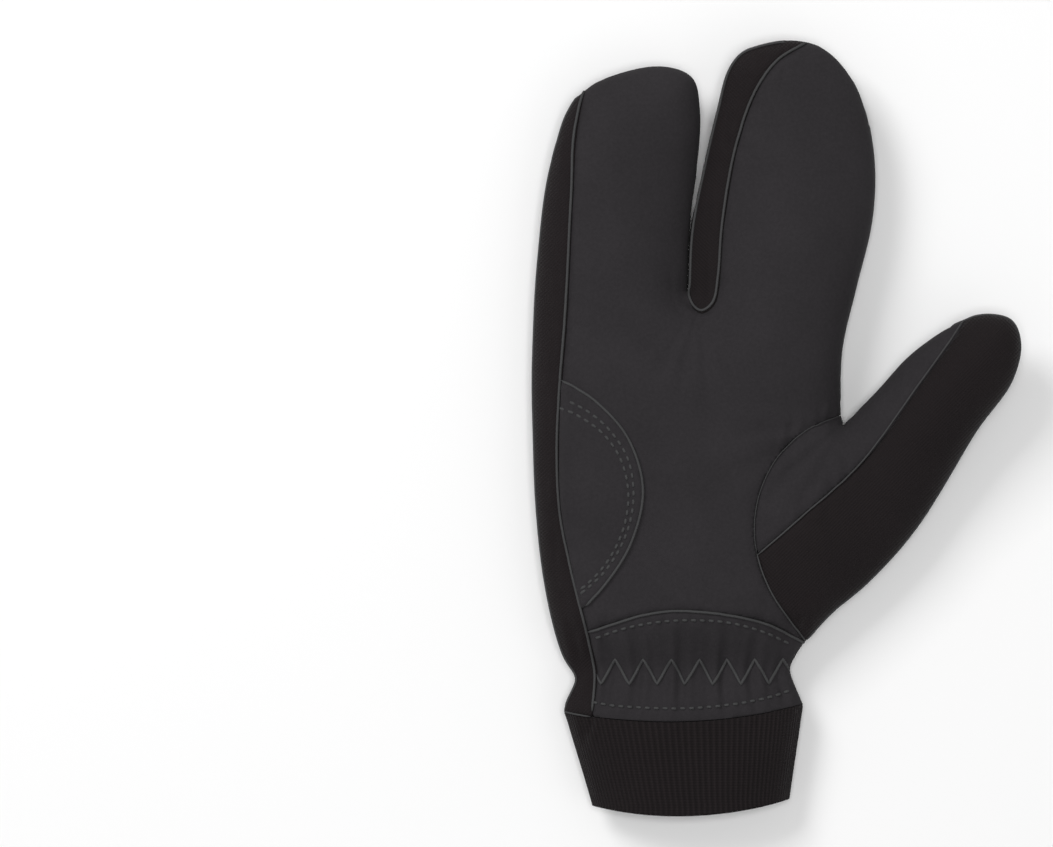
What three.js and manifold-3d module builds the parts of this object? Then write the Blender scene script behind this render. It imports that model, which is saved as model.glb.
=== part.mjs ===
// Lobster claw mitt for the right hand, lying on its back with the palm up.
// Millimetres, +Z up, +Y towards the fingertips, +X towards the thumb.
import * as THREE from 'three';
import { mergeVertices, toCreasedNormals } from 'three/addons/utils/BufferGeometryUtils.js';
import Module from 'manifold-3d';

const wasm = await Module();
wasm.setup();
const { Manifold, Mesh } = wasm;

// Driving sizes
const HAND_LENGTH = 224; // wrist crease to the tip of the index pocket
const HALF_PALM = 54.5; // half of the width over the palm
const DEPTH = 33; // thickness of the stuffed hand at the palm
const WALL = 2.2; // padded cloth, outside to lining
const SEAM_GAP = 0.3; // space left between two pieces at a seam
const PATCH_THICKNESS = 1.1; // appliqued heel patch
const PATCH_CLEARANCE = 0.25; // patch over the palm cloth
const PALM_ROLL = 0.66 * HALF_PALM; // how far in from the edge the palm face stops rising
const BACK_ROLL = 0.46 * HALF_PALM; // the same on the back, which lies flat on the table
const FINGER_CURL = 7; // how far the fingertips rise off the table
const THUMB_RISE = 9; // how far the tip of the thumb rises off the table

// Shares of HAND_LENGTH along and of HALF_PALM across, measured from the wrist crease
const HEM = -0.207;
const HEM_BOW = 0.02; // the hem hangs lower in the middle
const HEM_TILT = 0.011; // and a little lower at the little finger
const BOW_END = 0.1; // the rows of the hand are straight from here up
const SLIT_END = 0.604; // where the two finger pockets part
const RING_WRAP_START = 0.82; // the ring pocket's palm cloth runs round it from here to the tip
const THUMB_HEEL = 0.241; // where the outer side of the thumb leaves the hand
const CREASE_ANGLE = Math.PI / 5;

// Mesh density: steps across and along each part of the skin
const OUTER_STEPS = { cuffAndHeel: 13, thumbRoot: 8, knuckles: 6, pocket: 12, thumb: 11, pocketWidth: 10 };
const INNER_STEPS = { cuffAndHeel: 8, thumbRoot: 5, knuckles: 4, pocket: 8, thumb: 8, pocketWidth: 6 };
const OUTLINE_SAMPLES = 110;
const SEAM_STEP = 5;
const CROSSING_REACH = 1.6;
const PLATE_CELL = 7;
const SHORT_EDGE = 0.06;
const THIN_FACE = 0.01;
const TIDY_PASSES = 6;

// Outline seen from above, in three runs
const LITTLE_FINGER_RUN = [
  { along: -0.212, across: -0.616 },
  { along: -0.062, across: -0.800 },
  { along: -0.011, across: -0.710 },
  { along: 0.066, across: -0.857 },
  { along: 0.209, across: -0.958 },
  { along: 0.462, across: -1.000 },
  { along: 0.668, across: -0.961 },
  { along: 0.794, across: -0.889 },
  { along: 0.889, across: -0.772 },
  { along: 0.937, across: -0.544 },
  { along: 0.959, across: -0.173 },
  { along: 0.941, across: 0.036 },
  { along: 0.889, across: 0.088 },
  { along: 0.794, across: 0.068 },
  { along: 0.699, across: 0.016 },
  { along: SLIT_END, across: 0.007 },
];
const INDEX_RUN = [
  { along: SLIT_END, across: 0.007 },
  { along: 0.699, across: 0.027 },
  { along: 0.794, across: 0.101 },
  { along: 0.889, across: 0.192 },
  { along: 0.953, across: 0.264 },
  { along: 0.987, across: 0.414 },
  { along: 1.000, across: 0.668 },
  { along: 0.986, across: 0.896 },
  { along: 0.926, across: 1.104 },
  { along: 0.826, across: 1.215 },
  { along: 0.723, across: 1.212 },
  { along: 0.609, across: 1.104 },
  { along: 0.509, across: 1.013 },
  { along: 0.422, across: 1.003 },
  { along: 0.391, across: 1.020 },
];
const THUMB_RUN = [
  { along: 0.391, across: 1.020 },
  { along: 0.446, across: 1.241 },
  { along: 0.500, across: 1.443 },
  { along: 0.544, across: 1.691 },
  { along: 0.565, across: 1.899 },
  { along: 0.557, across: 2.101 },
  { along: 0.521, across: 2.162 },
  { along: 0.462, across: 2.107 },
  { along: 0.383, across: 1.879 },
  { along: THUMB_HEEL, across: 1.528 },
  { along: 0.146, across: 1.195 },
  { along: 0.082, across: 0.896 },
  { along: 0.025, across: 0.713 },
  { along: 0.002, across: 0.681 },
  { along: -0.051, across: 0.765 },
  { along: -0.201, across: 0.674 },
];

// Half thicknesses as shares of DEPTH, towards the palm and towards the back
const DEPTHS = [
  { along: -0.230, palm: 0.33, back: 0.30 },
  { along: -0.062, palm: 0.36, back: 0.31 },
  { along: 0.000, palm: 0.34, back: 0.31 },
  { along: 0.100, palm: 0.48, back: 0.42 },
  { along: 0.400, palm: 0.56, back: 0.42 },
  { along: 0.620, palm: 0.53, back: 0.42 },
  { along: 0.800, palm: 0.48, back: 0.40 },
  { along: 1.000, palm: 0.44, back: 0.38 },
];

// Seams seen from above
const CUFF_SEAM = [
  { along: -0.052, across: -1.000 },
  { along: -0.070, across: -0.629 },
  { along: -0.078, across: -0.094 },
  { along: -0.069, across: 0.394 },
  { along: -0.038, across: 1.000 },
];
const SIDE_STRIP_SEAM = [
  { along: -0.090, across: -0.632 },
  { along: -0.009, across: -0.596 },
  { along: 0.063, across: -0.650 },
  { along: 0.146, across: -0.737 },
  { along: 0.252, across: -0.824 },
  { along: 0.367, across: -0.844 },
  { along: 0.589, across: -0.785 },
  { along: 0.763, across: -0.749 },
  { along: 0.854, across: -0.730 },
  { along: 0.927, across: -0.655 },
  { along: 0.960, across: -0.580 },
];
const WRIST_SEAM = [
  { along: 0.064, across: -0.650 },
  { along: 0.093, across: -0.257 },
  { along: 0.098, across: 0.023 },
  { along: 0.079, across: 0.498 },
  { along: 0.050, across: 0.740 },
  { along: 0.036, across: 0.850 },
];
const THUMB_ROOT_PALM = [
  { along: 0.411, across: 1.080 },
  { along: 0.407, across: 1.007 },
  { along: 0.375, across: 0.720 },
  { along: 0.312, across: 0.511 },
  { along: 0.245, across: 0.436 },
  { along: 0.186, across: 0.453 },
  { along: 0.127, across: 0.544 },
  { along: 0.052, across: 0.765 },
  { along: 0.028, across: 0.840 },
];
const THUMB_ROOT_BACK = [
  { along: 0.411, across: 1.080 },
  { along: 0.407, across: 1.007 },
  { along: 0.334, across: 0.909 },
  { along: 0.226, across: 0.889 },
  { along: 0.163, across: 0.902 },
  { along: 0.106, across: 0.990 },
  { along: 0.080, across: 1.060 },
];
const THUMB_WEDGE_PALM = [
  { along: 0.186, across: 0.452 },
  { along: 0.247, across: 0.739 },
  { along: 0.333, across: 1.130 },
  { along: 0.462, across: 1.521 },
  { along: 0.554, across: 1.790 },
  { along: 0.590, across: 1.880 },
];
const THUMB_WEDGE_BACK = [
  { along: 0.290, across: 0.893 },
  { along: 0.352, across: 1.153 },
  { along: 0.453, across: 1.461 },
  { along: 0.554, across: 1.790 },
  { along: 0.590, across: 1.880 },
];
const SLIT_LOOP = [
  { along: 0.620, across: 0.008 },
  { along: 0.597, across: 0.012 },
  { along: 0.578, across: 0.049 },
  { along: 0.572, across: 0.094 },
  { along: 0.585, across: 0.165 },
  { along: 0.625, across: 0.202 },
  { along: 0.715, across: 0.231 },
  { along: 0.834, across: 0.319 },
  { along: 0.921, across: 0.446 },
];
const FOURCHETTE_TIP = [
  { along: 0.968, across: 0.590 },
  { along: 0.993, across: 0.759 },
  { along: 1.010, across: 0.860 },
];
const INDEX_WRAP_TIP = [
  { along: 0.951, across: 0.583 },
  { along: 0.960, across: 0.713 },
  { along: 0.949, across: 0.889 },
  { along: 0.899, across: 1.150 },
  { along: 0.872, across: 1.260 },
];
const RING_WRAP = [
  { along: 0.739, across: 0.050 },
  { along: 0.760, across: 0.026 },
  { along: 0.842, across: 0.010 },
  { along: 0.913, across: -0.114 },
  { along: 0.926, across: -0.264 },
  { along: 0.896, across: -0.583 },
  { along: 0.840, across: -0.850 },
  { along: 0.822, across: -0.940 },
];
const HEEL_PATCH_EDGE = [
  { along: 0.458, across: -0.800 },
  { along: 0.427, across: -0.583 },
  { along: 0.372, across: -0.388 },
  { along: 0.291, across: -0.290 },
  { along: 0.204, across: -0.368 },
  { along: 0.130, across: -0.564 },
  { along: 0.108, across: -0.680 },
];

// Stretches of the silhouette where one piece of cloth runs round from palm to back
const ROUND_THE_LITTLE_FINGER = { low: -0.09, high: 0.836, left: -1.3, right: -0.6 };
const ROUND_THE_INDEX_TIP = { low: 0.930, high: 1.2, left: 0.8, right: 1.6 };
const ROUND_THE_THUMB = [
  { along: 0.380, across: 1.000 },
  { along: 0.404, across: 1.012 },
  { along: 0.407, across: 1.030 },
  { along: 0.460, across: 1.150 },
  { along: 0.600, across: 1.500 },
  { along: 0.800, across: 2.400 },
  { along: 0.122, across: 2.400 },
  { along: 0.122, across: 0.900 },
];

const spot = ({ along, across }) => new THREE.Vector2(across * HALF_PALM, along * HAND_LENGTH);

function curvePoints(table, count) {
  const knots = table.map((row) => spot(row)).map((p) => new THREE.Vector3(p.x, p.y, 0));
  const curve = new THREE.CatmullRomCurve3(knots, false, 'centripetal');
  return curve.getPoints(count).map((p) => new THREE.Vector2(p.x, p.y));
}

// A seam as points about SEAM_STEP apart, run on a little past both its ends
function seamPoints(table) {
  const rough = curvePoints(table, table.length * 8);
  const last = rough.length - 1;
  const runOn = (end, inside) => end.clone().add(end.clone().sub(inside).setLength(2 * SEAM_GAP));
  rough.push(runOn(rough[last], rough[last - 1]));
  rough.unshift(runOn(rough[0], rough[1]));
  let length = 0;
  for (let i = 1; i < rough.length; i += 1) length += rough[i].distanceTo(rough[i - 1]);
  const knots = rough.map((p) => new THREE.Vector3(p.x, p.y, 0));
  const even = new THREE.CatmullRomCurve3(knots, false, 'centripetal');
  return even.getSpacedPoints(Math.ceil(length / SEAM_STEP)).map((p) => new THREE.Vector2(p.x, p.y));
}

const littleRun = curvePoints(LITTLE_FINGER_RUN, OUTLINE_SAMPLES);
const indexRun = curvePoints(INDEX_RUN, OUTLINE_SAMPLES);
const thumbRun = curvePoints(THUMB_RUN, OUTLINE_SAMPLES);
const crotch = thumbRun[0];

function highest(points, height) {
  let best = 0;
  points.forEach((p, i) => {
    if (height(p) > height(points[best])) best = i;
  });
  return best;
}

const northing = (p) => p.y;
const thumbAxis = new THREE.Vector2(Math.sin(0.73), Math.cos(0.73));
const alongThumb = (p) => p.clone().sub(crotch).dot(thumbAxis);

const littleTip = highest(littleRun, northing);
const indexTip = highest(indexRun, northing);
const thumbTip = highest(thumbRun, alongThumb);
const side = {
  little: littleRun.slice(0, littleTip + 1),
  ringInner: littleRun.slice(littleTip).reverse(),
  indexInner: indexRun.slice(0, indexTip + 1),
  indexOuter: indexRun.slice(indexTip).reverse(),
  thumbInner: thumbRun.slice(0, thumbTip + 1),
  thumbOuter: thumbRun.slice(thumbTip).reverse(),
};

// The point of a run, sorted by a rising measure, where the measure has the value asked for
function pointAt(points, measure, value) {
  if (value <= measure(points[0])) return new THREE.Vector2(points[0].x, points[0].y);
  for (let i = 1; i < points.length; i += 1) {
    const low = measure(points[i - 1]);
    const high = measure(points[i]);
    if (value <= high && high > low) {
      return points[i - 1].clone().lerp(points[i], (value - low) / (high - low));
    }
  }
  return points[points.length - 1].clone();
}

const acrossAt = (points, y) => pointAt(points, northing, y).x;
const heelY = THUMB_HEEL * HAND_LENGTH;
const heelPoint = new THREE.Vector2(acrossAt(side.thumbOuter, heelY), heelY);

// The right border of the hand without the thumb
function handRight(y) {
  if (y <= heelY) return acrossAt(side.thumbOuter, y);
  if (y <= crotch.y) {
    return THREE.MathUtils.lerp(heelPoint.x, crotch.x, (y - heelY) / (crotch.y - heelY));
  }
  return acrossAt(side.indexOuter, y);
}

// Outline segments for the soft distance; the two sides run on straight past the open hem
const outlineSegments = [];
for (const run of [littleRun, indexRun, thumbRun]) {
  for (let i = 1; i < run.length; i += 1) outlineSegments.push([run[i - 1], run[i]]);
}
for (const corner of [littleRun[0], thumbRun[thumbRun.length - 1]]) {
  outlineSegments.push([corner, new THREE.Vector2(corner.x, corner.y - HAND_LENGTH)]);
}

// Distance to the outline that stays smooth where two edges are equally near
const NEAREST = 0.05;
function softDistance(x, y) {
  let total = 0;
  for (const [a, b] of outlineSegments) {
    const length = a.distanceTo(b);
    const ux = (b.x - a.x) / length;
    const uy = (b.y - a.y) / length;
    const from = (a.x - x) * ux + (a.y - y) * uy;
    const to = from + length;
    const off = Math.max(NEAREST, Math.abs((a.x - x) * uy - (a.y - y) * ux));
    const upTo = (s) => s / (2 * off * off * (off * off + s * s)) + Math.atan(s / off) / (2 * off ** 3);
    total += upTo(to) - upTo(from);
  }
  return Math.cbrt(Math.PI / 2 / total);
}

function depthShare(y, key) {
  const along = y / HAND_LENGTH;
  if (along <= DEPTHS[0].along) return DEPTHS[0][key];
  for (let i = 1; i < DEPTHS.length; i += 1) {
    if (along <= DEPTHS[i].along) {
      const share = THREE.MathUtils.smoothstep(along, DEPTHS[i - 1].along, DEPTHS[i].along);
      return THREE.MathUtils.lerp(DEPTHS[i - 1][key], DEPTHS[i][key], share);
    }
  }
  return DEPTHS[DEPTHS.length - 1][key];
}

const rounded = (distance, roll) => Math.sqrt(1 - (1 - Math.min(distance / roll, 1)) ** 2);
const palmHeight = (x, y) => DEPTH * depthShare(y, 'palm') * rounded(softDistance(x, y), PALM_ROLL);
const backHeight = (x, y) => DEPTH * depthShare(y, 'back') * rounded(softDistance(x, y), BACK_ROLL);

// Height of the middle surface over the table: the back rests, the fingertips and thumb rise
const rootNormal = new THREE.Vector2(crotch.y - heelPoint.y, heelPoint.x - crotch.x).normalize();
const thumbReach = thumbRun[thumbTip].clone().sub(crotch).dot(rootNormal);
const partingRay = spot({ along: 0.6, across: 1.5 }).sub(crotch);
function middleHeight(x, y) {
  const lift = FINGER_CURL * THREE.MathUtils.smoothstep(y / HAND_LENGTH, SLIT_END, 1.15);
  const fromRoot = new THREE.Vector2(x, y).sub(crotch);
  const out = fromRoot.dot(rootNormal);
  const isThumb = out > 0 && partingRay.cross(fromRoot) < 0;
  const rise = isThumb ? THUMB_RISE * THREE.MathUtils.smoothstep(out / thumbReach, 0, 1) : lift;
  return DEPTH * depthShare(y, 'back') + rise;
}

const ease = (i, n) => (1 - Math.cos((Math.PI * i) / n)) / 2;
const towardsTip = (i, n) => Math.sin((Math.PI / 2) * (i / n));

// The plan of the skin: points with shared borders and the quads and triangles between them
function skinPlan(steps, hemShare) {
  const points = [];
  const faces = [];
  const add = (x, y, edge) => points.push({ x, y, edge }) - 1;
  const quad = (a, b, c, d) => faces.push([a, b, c], [a, c, d]);
  const half = steps.pocketWidth;
  const width = 2 * half;
  const slitY = SLIT_END * HAND_LENGTH;
  const slitX = indexRun[0].x;
  const slitShare = (slitX - acrossAt(side.little, slitY)) / (handRight(slitY) - acrossAt(side.little, slitY));

  const levels = [];
  for (let i = 0; i < steps.cuffAndHeel; i += 1) {
    levels.push(THREE.MathUtils.lerp(hemShare * HAND_LENGTH, heelY, i / steps.cuffAndHeel));
  }
  for (let i = 0; i < steps.thumbRoot; i += 1) {
    levels.push(THREE.MathUtils.lerp(heelY, crotch.y, ease(i, steps.thumbRoot)));
  }
  for (let i = 0; i <= steps.knuckles; i += 1) {
    levels.push(THREE.MathUtils.lerp(crotch.y, slitY, Math.sin((Math.PI / 2) * (i / steps.knuckles))));
  }

  // Hand from the hem to the end of the slit
  const firstRoot = steps.cuffAndHeel;
  const lastRoot = firstRoot + steps.thumbRoot;
  const rows = levels.map((level, i) => {
    const fade = 1 - THREE.MathUtils.smoothstep(level / HAND_LENGTH, HEM, BOW_END);
    const split = THREE.MathUtils.smoothstep(level / HAND_LENGTH, 0.4, SLIT_END);
    const row = [];
    for (let j = 0; j <= width; j += 1) {
      const single = ease(j, width);
      const parted = j <= half
        ? slitShare * ease(j, half)
        : slitShare + (1 - slitShare) * ease(j - half, half);
      const share = THREE.MathUtils.lerp(single, parted, split);
      const bend = fade * HAND_LENGTH * (HEM_TILT * (share - 0.5) - HEM_BOW * 4 * share * (1 - share));
      const y = level + bend;
      const x = THREE.MathUtils.lerp(acrossAt(side.little, y), handRight(y), share);
      const inRoot = i > firstRoot && i < lastRoot;
      const edge = j === 0 || (j === width && !inRoot) || (i === levels.length - 1 && j === half);
      row.push(add(x, y, edge));
    }
    return row;
  });
  for (let i = 1; i < rows.length; i += 1) {
    for (let j = 0; j < width; j += 1) {
      quad(rows[i - 1][j], rows[i - 1][j + 1], rows[i][j + 1], rows[i][j]);
    }
  }

  // A pocket grown from a row of the hand to its tip
  function pocket(firstRow, count, leftAt, rightAt, tip) {
    let below = firstRow;
    const across = firstRow.length - 1;
    for (let i = 1; i < count; i += 1) {
      const left = leftAt(towardsTip(i, count));
      const right = rightAt(towardsTip(i, count));
      const row = [];
      for (let j = 0; j <= across; j += 1) {
        const p = left.clone().lerp(right, ease(j, across));
        row.push(add(p.x, p.y, j === 0 || j === across));
      }
      for (let j = 0; j < across; j += 1) quad(below[j], below[j + 1], row[j + 1], row[j]);
      below = row;
    }
    const end = add(tip.x, tip.y, true);
    for (let j = 0; j < across; j += 1) faces.push([below[j], below[j + 1], end]);
  }

  const upright = (points2, tip) => (share) => (
    pointAt(points2, northing, THREE.MathUtils.lerp(slitY, tip.y, share)));
  const top = rows[rows.length - 1];
  const ringTip = littleRun[littleTip];
  const indexEnd = indexRun[indexTip];
  pocket(top.slice(0, half + 1), steps.pocket, upright(side.little, ringTip),
    upright(side.ringInner, ringTip), ringTip);
  pocket(top.slice(half), steps.pocket, upright(side.indexInner, indexEnd),
    upright(side.indexOuter, indexEnd), indexEnd);

  const rootRow = [];
  for (let i = lastRoot; i >= firstRoot; i -= 1) rootRow.push(rows[i][width]);
  const thumbEnd = thumbRun[thumbTip];
  const slanted = (points2, start) => (share) => (
    pointAt(points2, alongThumb, THREE.MathUtils.lerp(alongThumb(start), alongThumb(thumbEnd), share)));
  pocket(rootRow, steps.thumb, slanted(side.thumbInner, crotch),
    slanted(side.thumbOuter, heelPoint), thumbEnd);
  return { points, faces, hem: rows[0] };
}

const FAR = 2 * DEPTH;
const halfGap = SEAM_GAP / 2;

// A closed solid as wide as the skin, grown outwards or inwards along its normals
function stuffedSolid(steps, hemShare, grow) {
  const { points, faces, hem } = skinPlan(steps, hemShare);
  const positions = [];
  const palmIndex = points.map(({ x, y, edge }) => (
    positions.push([x, y, middleHeight(x, y) + (edge ? 0 : palmHeight(x, y))]) - 1));
  const backIndex = points.map(({ x, y, edge }, i) => (
    edge ? palmIndex[i] : positions.push([x, y, middleHeight(x, y) - backHeight(x, y)]) - 1));
  const triangles = [];
  for (const [a, b, c] of faces) {
    triangles.push([palmIndex[a], palmIndex[b], palmIndex[c]]);
    triangles.push([backIndex[a], backIndex[c], backIndex[b]]);
  }
  const geometry = new THREE.BufferGeometry();
  geometry.setAttribute('position', new THREE.Float32BufferAttribute(positions.flat(), 3));
  geometry.setIndex(triangles.flat());
  geometry.computeVertexNormals();
  const normals = geometry.getAttribute('normal');
  const moved = positions.map(([x, y, z], i) => (
    [x + grow * normals.getX(i), y + grow * normals.getY(i), z + grow * normals.getZ(i)]));
  for (let j = 1; j < hem.length; j += 1) {
    const [a, b] = [hem[j - 1], hem[j]];
    triangles.push([palmIndex[a], backIndex[a], backIndex[b]], [palmIndex[a], backIndex[b], palmIndex[b]]);
  }
  return toManifold(moved, triangles.filter(([a, b, c]) => a !== b && b !== c && c !== a));
}

function toManifold(positions, triangles) {
  return new Manifold(new Mesh({
    numProp: 3,
    vertProperties: new Float32Array(positions.flat()),
    triVerts: new Uint32Array(triangles.flat()),
  }));
}

// An upright block over a polygon drawn in plan
function block(polygon, low, high) {
  const ring = THREE.ShapeUtils.isClockWise(polygon) ? [...polygon].reverse() : polygon;
  const count = ring.length;
  const positions = [low, high].flatMap((z) => ring.map((p) => [p.x, p.y, z]));
  const triangles = [];
  for (const [a, b, c] of THREE.ShapeUtils.triangulateShape(ring, [])) {
    triangles.push([a, c, b], [count + a, count + b, count + c]);
  }
  for (let i = 0; i < count; i += 1) {
    const next = (i + 1) % count;
    triangles.push([i, next, count + next], [i, count + next, count + i]);
  }
  return toManifold(positions, triangles);
}

// A thin upright blade along a seam, reaching just past the middle surface on the far side
function blade(points, throughBack, throughPalm) {
  const positions = [];
  points.forEach((p, i) => {
    const before = points[Math.max(i - 1, 0)];
    const after = points[Math.min(i + 1, points.length - 1)];
    const out = after.clone().sub(before).setLength(halfGap);
    const middle = middleHeight(p.x, p.y);
    const low = throughBack ? -FAR : middle - halfGap;
    const high = throughPalm ? FAR : middle + halfGap;
    for (const z of [low, high]) {
      positions.push([p.x - out.y, p.y + out.x, z], [p.x + out.y, p.y - out.x, z]);
    }
  });
  const triangles = [];
  const [lowLeft, lowRight, highLeft, highRight] = [0, 1, 2, 3];
  const loop = [lowLeft, highLeft, highRight, lowRight];
  for (let i = 0; i + 1 < points.length; i += 1) {
    loop.forEach((corner, k) => {
      const other = loop[(k + 1) % loop.length];
      const [a, b] = [4 * i + corner, 4 * i + other];
      triangles.push([a, b + 4, a + 4], [a, b, b + 4]);
    });
  }
  const end = 4 * (points.length - 1);
  triangles.push([lowLeft, highRight, highLeft], [lowLeft, lowRight, highRight]);
  triangles.push([end + lowLeft, end + highLeft, end + highRight], [end + lowLeft, end + highRight, end + lowRight]);
  return toManifold(positions, triangles);
}

// A thin plate that follows the middle surface over a rectangle of the plan
function middlePlate(from, to, cell) {
  const columns = Math.ceil((to.x - from.x) / cell);
  const rows = Math.ceil((to.y - from.y) / cell);
  const sheets = [[], []];
  for (let i = 0; i <= rows; i += 1) {
    for (let j = 0; j <= columns; j += 1) {
      const x = THREE.MathUtils.lerp(from.x, to.x, j / columns);
      const y = THREE.MathUtils.lerp(from.y, to.y, i / rows);
      const z = middleHeight(x, y);
      sheets[0].push([x, y, z - halfGap]);
      sheets[1].push([x, y, z + halfGap]);
    }
  }
  return toManifold(sheets.flat(), plateTriangles(rows, columns));
}

// Triangles of a plate whose lower and upper sheet are grids of the same points
function plateTriangles(rows, columns) {
  const count = (rows + 1) * (columns + 1);
  const id = (i, j) => i * (columns + 1) + j;
  const triangles = [];
  for (let i = 0; i < rows; i += 1) {
    for (let j = 0; j < columns; j += 1) {
      const [a, b, c, d] = [id(i, j), id(i, j + 1), id(i + 1, j + 1), id(i + 1, j)];
      triangles.push([a, c, b], [a, d, c]);
      triangles.push([count + a, count + b, count + c], [count + a, count + c, count + d]);
    }
  }
  const rim = [];
  for (let j = 0; j < columns; j += 1) rim.push(id(0, j));
  for (let i = 0; i < rows; i += 1) rim.push(id(i, columns));
  for (let j = columns; j > 0; j -= 1) rim.push(id(rows, j));
  for (let i = rows; i > 0; i -= 1) rim.push(id(i, 0));
  rim.forEach((a, k) => {
    const b = rim[(k + 1) % rim.length];
    triangles.push([a, b, count + b], [a, count + b, count + a]);
  });
  return triangles;
}

const box = ({ low, high, left, right }) => [[low, left], [low, right], [high, right], [high, left]]
  .map(([along, across]) => spot({ along, across }));

// The points where a seam crosses the outline
function outlineCrossings(points) {
  const crossings = [];
  for (let i = 1; i < points.length; i += 1) {
    const step = points[i].clone().sub(points[i - 1]);
    for (const [a, b] of outlineSegments) {
      const edge = b.clone().sub(a);
      const between = a.clone().sub(points[i - 1]);
      const turn = step.cross(edge);
      const alongSeam = between.cross(edge) / turn;
      const alongEdge = between.cross(step) / turn;
      const meets = alongSeam >= 0 && alongSeam <= 1 && alongEdge >= 0 && alongEdge <= 1;
      if (meets) crossings.push(points[i - 1].clone().addScaledVector(step, alongSeam));
    }
  }
  return crossings;
}

// All the seams as one cutter
function seamCutter() {
  const blades = [blade(seamPoints(CUFF_SEAM), true, true)];
  const palmSeams = [SIDE_STRIP_SEAM, WRIST_SEAM, THUMB_ROOT_PALM, THUMB_WEDGE_PALM,
    [...SLIT_LOOP, ...FOURCHETTE_TIP]];
  const backSeams = [RING_WRAP, THUMB_ROOT_BACK, THUMB_WEDGE_BACK, [...SLIT_LOOP, ...INDEX_WRAP_TIP]];
  for (const seam of palmSeams) blades.push(blade(seamPoints(seam), false, true));
  for (const seam of backSeams) blades.push(blade(seamPoints(seam), true, false));

  const slitMiddle = [RING_WRAP_START, 0.84, 0.92].map((along) => {
    const y = along * HAND_LENGTH;
    return new THREE.Vector2((acrossAt(side.ringInner, y) + acrossAt(side.indexInner, y)) / 2, y);
  });
  const roundTheRingTip = [spot({ along: RING_WRAP_START, across: -0.655 }), ...slitMiddle,
    spot({ along: 1.2, across: 0.2 }), spot({ along: 1.2, across: -0.655 })];
  const cuff = [...seamPoints(CUFF_SEAM), spot({ along: -0.5, across: 1.0 }), spot({ along: -0.5, across: -1.0 })];
  const uncut = [box(ROUND_THE_LITTLE_FINGER), roundTheRingTip, box(ROUND_THE_INDEX_TIP),
    ROUND_THE_THUMB.map(spot), cuff];
  let slab = middlePlate(spot({ along: -0.3, across: -1.3 }), spot({ along: 1.1, across: 2.4 }), PLATE_CELL);
  for (const polygon of uncut) slab = slab.subtract(block(polygon, -FAR, FAR));

  // Short cuts along the silhouette wherever a seam crosses it
  for (const seam of [...palmSeams, ...backSeams]) {
    for (const { x, y } of outlineCrossings(seamPoints(seam))) {
      const reach = new THREE.Vector2(CROSSING_REACH, CROSSING_REACH);
      const crossing = new THREE.Vector2(x, y);
      blades.push(middlePlate(crossing.clone().sub(reach), crossing.add(reach), CROSSING_REACH));
    }
  }
  return blades.reduce((all, one) => all.add(one), slab);
}

// The heel patch: a thin curved plate over the palm cloth
function heelPatch() {
  const rows = 16;
  const columns = 9;
  const strip = curvePoints(SIDE_STRIP_SEAM, OUTLINE_SAMPLES);
  const edge = curvePoints(HEEL_PATCH_EDGE, OUTLINE_SAMPLES).reverse();
  const bottomY = edge[0].y;
  const topY = edge[edge.length - 1].y;
  const inset = 2 * SEAM_GAP;
  const layers = [[], []];
  const slope = 0.5;
  for (let i = 0; i <= rows; i += 1) {
    const y = THREE.MathUtils.lerp(bottomY, topY, ease(i, rows));
    const left = acrossAt(strip, y) + inset;
    const right = Math.max(acrossAt(edge, y), left + inset);
    for (let j = 0; j <= columns; j += 1) {
      const x = THREE.MathUtils.lerp(left, right, j / columns);
      const normal = new THREE.Vector3(
        palmHeight(x - slope, y) - palmHeight(x + slope, y),
        palmHeight(x, y - slope) - palmHeight(x, y + slope),
        2 * slope,
      ).normalize();
      const skin = new THREE.Vector3(x, y, middleHeight(x, y) + palmHeight(x, y));
      layers[0].push(skin.clone().addScaledVector(normal, PATCH_CLEARANCE));
      layers[1].push(skin.clone().addScaledVector(normal, PATCH_CLEARANCE + PATCH_THICKNESS));
    }
  }
  return toManifold([...layers[0], ...layers[1]].map((p) => [p.x, p.y, p.z]), plateTriangles(rows, columns));
}

// Where each piece is looked for: a spot on the skin and the face it lies on
const PIECES = {
  palm_panel: { along: 0.35, across: 0.10, face: 'palm', colour: 0x302e30, roughness: 0.92 },
  back_panel: { along: 0.30, across: 0.10, face: 'back', colour: 0x221e1f, roughness: 0.85 },
  index_fourchette: { along: 0.64, across: 0.12, face: 'palm', colour: 0x221e1f, roughness: 0.85 },
  thumb_outer: { along: 0.40, across: 1.75, face: 'palm', colour: 0x221e1f, roughness: 0.85 },
  thumb_inner: { along: 0.35, across: 0.95, face: 'palm', colour: 0x302e30, roughness: 0.92 },
  wrist_panel: { along: 0.00, across: 0.10, face: 'palm', colour: 0x302e30, roughness: 0.92 },
  knit_cuff: { along: -0.15, across: 0.05, face: 'palm', colour: 0x1b191a, roughness: 0.95 },
};

function trianglesOf(solid) {
  const mesh = solid.getMesh();
  const geometry = new THREE.BufferGeometry();
  geometry.setAttribute('position', new THREE.Float32BufferAttribute(mesh.vertProperties, 3));
  geometry.setIndex(Array.from(mesh.triVerts));
  return tidied(mergeVertices(geometry, 1e-4));
}

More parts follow.
